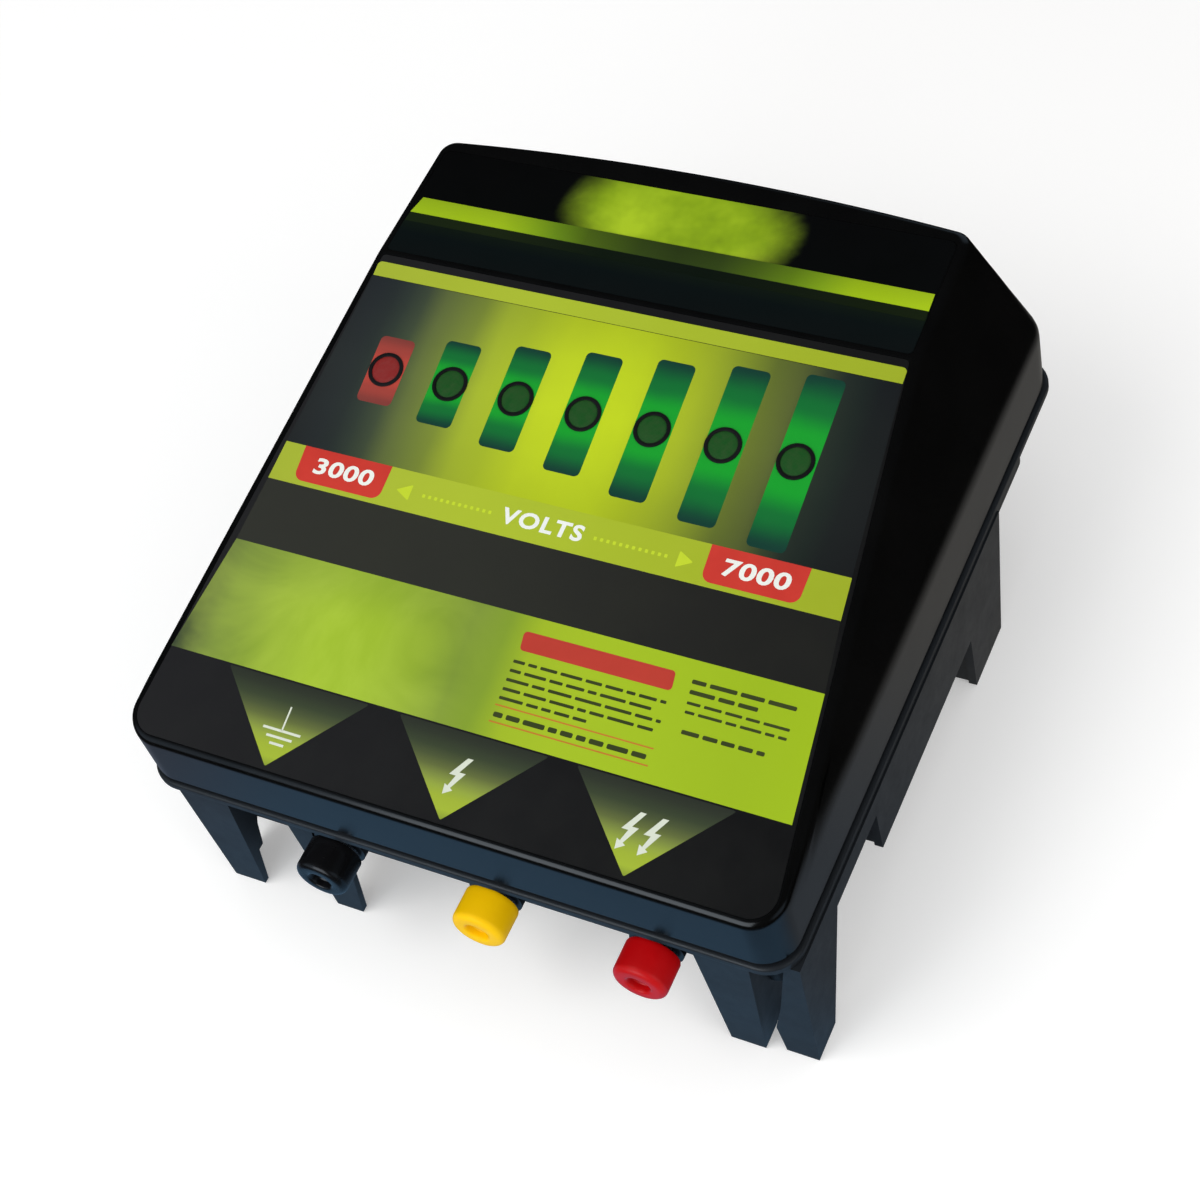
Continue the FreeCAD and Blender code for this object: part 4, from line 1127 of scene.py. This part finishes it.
def text_piece(name, body, size, x, y, layer, spacing, bold, wide):
    """White lettering centred on (x, y); bold thickens the strokes, wide stretches in x."""
    curve = bpy.data.curves.new(name, "FONT")
    curve.body = body
    curve.size = size
    curve.align_x = "CENTER"
    curve.align_y = "CENTER"
    curve.shear = 0.06
    curve.space_character = spacing
    curve.offset = bold
    curve.resolution_u = 4
    letters = link_object(name + "_c", curve)
    graph = bpy.context.evaluated_depsgraph_get()
    mesh = bpy.data.meshes.new_from_object(letters.evaluated_get(graph), depsgraph=graph)
    bpy.data.objects.remove(letters)
    bm = bmesh.new()
    bm.from_mesh(mesh)
    bmesh.ops.remove_doubles(bm, verts=bm.verts, dist=1e-4)
    bmesh.ops.dissolve_limit(bm, angle_limit=math.radians(1), verts=bm.verts, edges=bm.edges)
    extruded = bmesh.ops.extrude_face_region(bm, geom=bm.faces[:])["geom"]
    raised = set(item for item in extruded if isinstance(item, bmesh.types.BMVert))
    low, high = layer
    for vert in bm.verts:
        lift = high if vert in raised else low
        vert.co = Vector(to_row(on_panel(x + vert.co.x * wide, y + vert.co.y, lift)))
    for face in bm.faces:
        face.smooth = False
    bmesh.ops.recalc_face_normals(bm, faces=bm.faces)
    dress(bmesh_object(name, bm), "housing", WHITE)


END_VALUE = dict(size=7.9, layer=INK_3, spacing=1.06, bold=0.22, wide=1.42)
text_piece("print_scale_low", "3000", x=-78.6, y=108.2, **END_VALUE)
text_piece("print_scale_high", "7000", x=74.2, y=107.9, **END_VALUE)
text_piece("print_scale_unit", "VOLTS", x=-1.6, y=107.1, size=7.6, layer=INK_2, spacing=1.14,
           bold=0.24, wide=1.2)

# Dotted arrows from the unit towards both ends of the scale
DOT_HALF, DOT_LOW, DOT_HIGH, DOT_PITCH = 0.55, 106.5, 107.7, 2.3
HEAD_LENGTH, HEAD_CLEAR = 5.6, 9.0      # arrow head, and the length at the tip free of dots
HEAD_LOW, HEAD_MID, HEAD_HIGH = 104.2, 107.1, 110.0


def arrow(x, tip):
    way = 1 if tip > x else -1
    outlines = []
    while (tip - HEAD_CLEAR * way - x) * way > 0:
        outlines.append(rounded(strip(x - DOT_HALF, x + DOT_HALF, DOT_LOW, DOT_HIGH), 0.25, 3))
        x += DOT_PITCH * way
    back = tip - HEAD_LENGTH * way
    head = [(tip, HEAD_MID), (back, HEAD_HIGH), (back, HEAD_LOW)]
    outlines.append(rounded(head[::way], 0.3, 3))
    return outlines


print_piece("print_arrows", on_panel, arrow(-21.0, -57.0) + arrow(18.0, 53.0), INK_2, LIME)

# Symbols over the terminals: earth, one bolt, two bolts
BOLT = [(1.6, 6.6), (-2.7, 0.2), (-0.3, 0.2), (-1.75, -3.6), (-2.9, -3.1), (-2.5, -6.6),
        (0.5, -4.7), (-0.6, -4.1), (2.8, 1.5), (0.5, 1.5), (3.6, 6.6)]      # x, y
BOLT_PLACES = ((3.0, 19.4), (64.2, 18.6), (71.8, 18.6))
EARTH_X, EARTH_Y, EARTH_STEM = -61.8, 17.2, 8.6
EARTH_BARS = ((14.4, 0.0), (9.8, -2.4), (5.4, -4.7))    # length, y from the stem's foot


def stroke(x0, y0, x1, y1, width):
    along = np.array([x1 - x0, y1 - y0], float)
    along /= np.linalg.norm(along)
    aside = np.array([-along[1], along[0]]) * width / 2
    start, end = np.array([x0, y0]), np.array([x1, y1])
    return [tuple(start - aside), tuple(end - aside), tuple(end + aside), tuple(start + aside)]


symbols = [stroke(EARTH_X, EARTH_Y, EARTH_X, EARTH_Y + EARTH_STEM, 0.6)]
for length, dy in EARTH_BARS:
    y = EARTH_Y + dy
    symbols.append(stroke(EARTH_X - length / 2, y, EARTH_X + length / 2, y, 0.85))
for bolt_x, bolt_y in BOLT_PLACES:
    symbols.append([(bolt_x + x, bolt_y + y) for x, y in BOLT])
print_piece("print_symbols", on_panel, symbols, INK_2, PALE)

# Blank heading bar, broken ruled lines and dividers on the right of the green block
RULE = ink("print_rule", (52, 62, 26), (60, 70, 30))
HEADING = ink("print_heading", (186, 58, 44), (176, 52, 40))
DIVIDER = ink("print_divider", (190, 120, 40), (182, 112, 36))
print_piece("print_heading_bar", on_panel,
            [rounded(strip(7.4, 61.2, 64.6, 71.2, top=(6.6, 60.4)), 1.4)], INK_2, HEADING)

# start x, end x, y, width, random seed
RULES = [
    (6.8, 61.0, 60.6, 1.05, 11), (6.8, 57.0, 57.4, 1.05, 12), (6.8, 61.5, 54.2, 1.05, 13),
    (6.8, 60.0, 51.0, 1.05, 14), (6.8, 40.0, 47.9, 1.05, 15), (7.0, 61.0, 42.2, 1.7, 21),
    (66.6, 103.0, 69.4, 1.4, 31), (67.0, 92.0, 66.0, 1.4, 32), (67.4, 104.0, 62.4, 0.95, 33),
    (67.8, 102.0, 59.4, 0.95, 34), (69.0, 97.0, 53.0, 1.4, 35)]
DASH_MIN, DASH_MAX, DASH_GAP, DASH_END = 3.0, 9.5, 1.25, 1.5


def rule(x, end, y, width, seed):
    """One ruled line broken into dashes of uneven length."""
    rng = np.random.RandomState(seed)
    dashes = []
    while x < end - DASH_END:
        length = min(rng.uniform(DASH_MIN, DASH_MAX), end - x)
        dash = strip(x, x + length, y - width / 2, y + width / 2)
        dashes.append(rounded(dash, width * 0.3, 3))
        x += length + DASH_GAP
    return dashes


print_piece("print_rules", on_panel, [dash for row in RULES for dash in rule(*row)], INK_2, RULE)
print_piece("print_dividers", on_panel,
            [rounded(strip(6.4, 62.4, 45.1, 45.6), 0.1, 2),
             rounded(strip(6.4, 62.6, 39.4, 39.9), 0.1, 2)], INK_2, DIVIDER)

# Header: a bar across and a thin shade on its near side
print_piece("print_header_bar", on_header,
            [strip(-97.2, 97.3, 19.0, 26.2, top=(-95.4, 96.9))], INK_1, header_bar_ink())
print_piece("print_header_shade", on_header,
            [strip(-97.4, 97.4, 15.0, 19.0, top=(-97.2, 97.3))], INK_1, header_shade_ink())

# ---------------------------------------------------------------------------
# Lamps: rounded rings with shallow domed lenses
# ---------------------------------------------------------------------------
FLANGE_R = RING_R + 0.5
DOME_RISE = 0.42
# closed profiles: radius, lift from the panel
RING_PROFILE = [
    (LENS_R + 0.05, -3.75), (RING_R + 1.4, -3.75), (RING_R + 1.4, -2.85), (RING_R, -2.85),
    (RING_R, 0.13), (FLANGE_R, 0.13), (FLANGE_R, 0.3), (FLANGE_R - 0.1, 0.46),
    (FLANGE_R - 0.32, 0.55), (LENS_R + 0.1, 0.55), (LENS_R - 0.12, 0.47), (LENS_R - 0.2, 0.3),
    (LENS_R + 0.05, 0.1)]
LENS_PROFILE = [
    (0.0, -5.9), (2.4, -5.9), (2.4, -2.75), (LENS_R, -2.75), (LENS_R, 0.0),
    *((LENS_R * math.cos(t), DOME_RISE * math.sin(t))
      for t in np.linspace(0.1, math.pi / 2, 9)[:-1]),
    (0.0, DOME_RISE)]


def lamp_parts(name, shape, xs, slot, material):
    """One object holding a turned shape at each x of the lamp row."""
    verts, faces = shape
    up_slope = np.array([0, math.cos(PANEL_TILT), math.sin(PANEL_TILT)])
    normal = np.array([0, -math.sin(PANEL_TILT), math.cos(PANEL_TILT)])
    all_verts, all_faces = [], []
    for i, x in enumerate(xs):
        all_verts.append(np.array(on_panel(x, LAMP_Y)) + np.outer(verts[:, 0], [1, 0, 0])
                         + np.outer(verts[:, 1], up_slope) + np.outer(verts[:, 2], normal))
        all_faces += [tuple(k + i * len(verts) for k in face) for face in faces]
    return smooth_object(name, np.vstack(all_verts), all_faces, "housing", slot, material)


lens_shape = weld(*lathe(LENS_PROFILE))
bezels = lamp_parts("lamp_bezels", lathe(RING_PROFILE), LAMP_X, "black_plastic", BLACK)
red_lens = lamp_parts("lamp_lens_red", lens_shape, LAMP_X[:1], "lens_red", LENS_RED)
green_lenses = lamp_parts("lamp_lenses_green", lens_shape, LAMP_X[1:], "lens_green", LENS_GREEN)
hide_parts("lamp_rings")
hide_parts("lamp_red")
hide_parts("lamps_green")

# ---------------------------------------------------------------------------
# Terminal knobs: turned about y, with a rounded near rim and a dished centre
# ---------------------------------------------------------------------------
KNOB_NEAR, KNOB_R, KNOB_ROUND = -11.5, 9.45, 2.3
# closed profile: radius, y
KNOB_PROFILE = [
    (3.05, 1.0), (KNOB_R - 0.55, 1.0), (KNOB_R - 0.16, 0.84), (KNOB_R, 0.45),
    *((KNOB_R, y) for y in np.linspace(0.45, KNOB_NEAR + 2.4, 8)[1:]),
    *((KNOB_R - KNOB_ROUND * (1 - math.cos(t)), KNOB_NEAR + KNOB_ROUND - KNOB_ROUND * math.sin(t))
      for t in np.linspace(0.15, math.pi / 2, 8)),
    (5.1, KNOB_NEAR), (4.62, KNOB_NEAR + 0.12), (4.34, KNOB_NEAR + 0.5),
    (4.2, KNOB_NEAR + 1.1), (4.1, KNOB_NEAR + 2.5), (3.7, KNOB_NEAR + 2.9),
    (0.0, KNOB_NEAR + 2.95), (0.0, -7.1), (2.6, -7.05), (3.05, -6.9)]


def build_knobs():
    verts, faces = lathe(KNOB_PROFILE, 96)
    verts, faces = weld(verts[:, [0, 2, 1]], faces)
    for key, material, slot in (("earth", KNOB_BLACK, "black_plastic"),
                                ("low", YELLOW, "yellow_plastic"),
                                ("full", RED, "red_plastic")):
        place = np.array([KNOB_X[key], 0.0, KNOB_Z])
        ob = smooth_object("knob_shell_" + key, verts + place, faces, "knob_" + key, slot,
                           material, angle=40)
        ob.visible_glossy = False
        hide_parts("terminal_knob_" + key)


def soften_base():
    """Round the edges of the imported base."""
    base = NODES["rear_base"]
    add_mod(base, "WELD", "weld", merge_threshold=1e-6)
    add_mod(base, "DECIMATE", "flat", decimate_type="DISSOLVE", angle_limit=math.radians(1.0))
    add_mod(base, "BEVEL", "soft_edges", width=0.45 / 1000.0, segments=2, limit_method="ANGLE",
            angle_limit=math.radians(35.0), use_clamp_overlap=True, harden_normals=False,
            miter_outer="MITER_ARC")
    base.data.polygons.foreach_set("use_smooth", [True] * len(base.data.polygons))
    add_mod(base, "WEIGHTED_NORMAL", "shade", keep_sharp=True, weight=80)


build_knobs()
soften_base()


# ---------------------------------------------------------------------------
# Stage, world, lights and camera; metres in the row frame
# ---------------------------------------------------------------------------
def floor_material():
    """White floor; glossy rays see a painted glow around the case instead."""
    mat = Mat("floor_white")
    cloud = mat.noise(scale=3.0, detail=4.0, rough=0.6)
    mat.set(Base_Color=mat.mix(cloud, (0.80, 0.80, 0.80, 1), (0.82, 0.82, 0.82, 1)),
            Roughness=0.9, Specular_IOR_Level=0.1)
    x, y, _ = mat.xyz()

    def off_x():
        return mat.math("ABSOLUTE", x)

    def off_y():
        """Distance along y from the middle of the glow, at y = -0.04."""
        return mat.math("ABSOLUTE", mat.add(y, 0.04))

    # brightness falls off with the distance from a rectangle about the case
    dx = mat.math("MAXIMUM", mat.sub(off_x(), 0.12), 0.0)
    dy = mat.math("MAXIMUM", mat.sub(off_y(), 0.135), 0.0)
    dist = mat.math("SQRT", mat.add(mat.mul(dx, dx), mat.mul(dy, dy)))
    fall = mat.remap(dist, span=(0.05, 0.155), to=(1.0, 0.01), smooth=True)
    # under the case it is dark
    clear = mat.math("MAXIMUM", mat.remap(off_x(), span=(0.095, 0.118), smooth=True),
                     mat.remap(off_y(), span=(0.105, 0.13), smooth=True))
    # the near side is cooler, and dimmer further out
    dim = mat.remap(y, span=(-0.208, -0.240), to=(1.0, 0.25), smooth=True)
    near = mat.remap(y, span=(-0.13, -0.19), smooth=True)
    cool = mat.mix(mat.remap(x, span=(-0.20, -0.08), smooth=True),
                   (0.17, 0.19, 0.25, 1), (0.125, 0.25, 0.40, 1))
    warm = mat.mix(mat.remap(y, span=(-0.12, 0.02), smooth=True),
                   (0.12, 0.14, 0.165, 1), (0.205, 0.20, 0.19, 1))
    strength = mat.mul(mat.mul(fall, clear), mat.math("MAXIMUM", dim, mat.sub(1.0, near)))
    glow = mat.node("ShaderNodeEmission")
    mat.link(mat.mix(near, warm, cool), glow.inputs[0])
    mat.link(strength, glow.inputs[1])

    # the camera sees the floor lifted towards white
    lift = mat.node("ShaderNodeEmission")
    lift.inputs[0].default_value = (1, 1, 1, 1)
    lift.inputs[1].default_value = 0.30
    lifted = mat.node("ShaderNodeAddShader")
    plain = mat.shader.outputs[0]
    mat.link(plain, lifted.inputs[0])
    mat.link(lift.outputs[0], lifted.inputs[1])
    camera_ray = mat.node("ShaderNodeLightPath").outputs["Is Camera Ray"]
    seen = mat.ray_switch(camera_ray, plain, lifted.outputs[0])
    glossy_ray = mat.node("ShaderNodeLightPath").outputs["Is Glossy Ray"]
    mat.link(mat.ray_switch(glossy_ray, seen, glow.outputs[0]), mat.output.inputs[0])
    return mat.material


def build_floor():
    bm = bmesh.new()
    bmesh.ops.create_grid(bm, x_segments=8, y_segments=8, size=6.0)
    floor = bmesh_object("floor", bm)
    floor.location = (0, 0, -0.0005)
    set_mat(floor, floor_material())


# Soft patches seen in reflections: direction, cosines where each starts and is full, strength
LOBES = (
    ((-0.45, -0.25, 0.86), (0.80, 0.97), 0.04),
    ((-0.55, -0.80, 0.12), (0.72, 0.97), 0.45),
    ((0.9, -0.35, 0.3), (0.86, 0.98), 0.35),
    ((0.1, 0.95, 0.35), (0.85, 0.98), 0.35),
)
ROOM_GLOSS = 0.012      # what reflections see between the patches


def build_world():
    """White to the camera, even white light, and a dark room with soft patches in gloss."""
    world = bpy.data.worlds.new("studio")
    scene.world = world
    world.use_nodes = True
    sky = Nodes(world.node_tree)
    output = sky.node("ShaderNodeOutputWorld")

    def background(color, strength):
        node = sky.node("ShaderNodeBackground")
        sky.put(node.inputs[0], color)
        sky.put(node.inputs[1], strength)
        return node.outputs[0]

    ambient = background((1.0, 1.0, 1.0, 1), 0.58)
    coord = sky.node("ShaderNodeTexCoord")
    unit = sky.node("ShaderNodeVectorMath", operation="NORMALIZE")
    sky.link(coord.outputs["Generated"], unit.inputs[0])
    total = ROOM_GLOSS
    for direction, span, strength in LOBES:
        facing = sky.dot(unit.outputs[0], Vector(direction).normalized())
        patch = sky.remap(facing, span, to=(0.0, strength), smooth=True)
        node = sky.node("ShaderNodeMath", operation="ADD")
        sky.put(node.inputs[0], total)
        sky.put(node.inputs[1], patch)
        total = node.outputs[0]
    gloss = background((0.62, 0.8, 1.0, 1), total)
    rays = sky.node("ShaderNodeLightPath").outputs
    lit = sky.ray_switch(rays["Is Glossy Ray"], ambient, gloss)
    white = background((1, 1, 1, 1), 1.0)
    sky.link(sky.ray_switch(rays["Is Camera Ray"], lit, white), output.inputs[0])


def area_light(name, place, target, size, power, color, glossy):
    light = bpy.data.lights.new(name, "AREA")
    light.shape = "SQUARE"
    light.size = size
    light.energy = power
    light.color = color
    ob = bpy.data.objects.new(name, light)
    ob.location = place
    ob.rotation_mode = "QUATERNION"
    ob.rotation_quaternion = (Vector(target) - Vector(place)).to_track_quat("-Z", "Y")
    ob.visible_glossy = glossy
    ob.visible_camera = False
    scene.collection.objects.link(ob)


def build_camera():
    data = bpy.data.cameras.new("camera")
    data.sensor_width = 36.0
    data.lens = 71.235
    data.clip_start = 0.01
    data.clip_end = 50.0
    camera = link_object("camera", data)
    right = Vector((0.8903, 0.4093, -0.1997))
    up = Vector((-0.23, 0.7826, 0.5785))
    back = right.cross(up).normalized()
    right.normalize()
    up = back.cross(right).normalized()
    camera.matrix_world = Matrix((
        (right.x, up.x, back.x, 0.32517),
        (right.y, up.y, back.y, -0.44166),
        (right.z, up.z, back.z, 0.70716),
        (0, 0, 0, 1)))
    scene.camera = camera


build_floor()
build_world()
area_light("key", place=(-0.55, -0.75, 1.35), target=(0, -0.04, 0.05), size=0.9, power=8.9,
           color=(1.0, 0.99, 0.97), glossy=False)
area_light("fill_right", place=(1.1, -0.35, 0.55), target=(0, -0.02, 0.05), size=0.8, power=3.6,
           color=(1.0, 0.98, 0.95), glossy=False)
area_light("front", place=(-0.15, -1.1, 0.35), target=(0, -0.15, 0.04), size=0.7, power=3.2,
           color=(0.85, 0.93, 1.0), glossy=True)
build_camera()
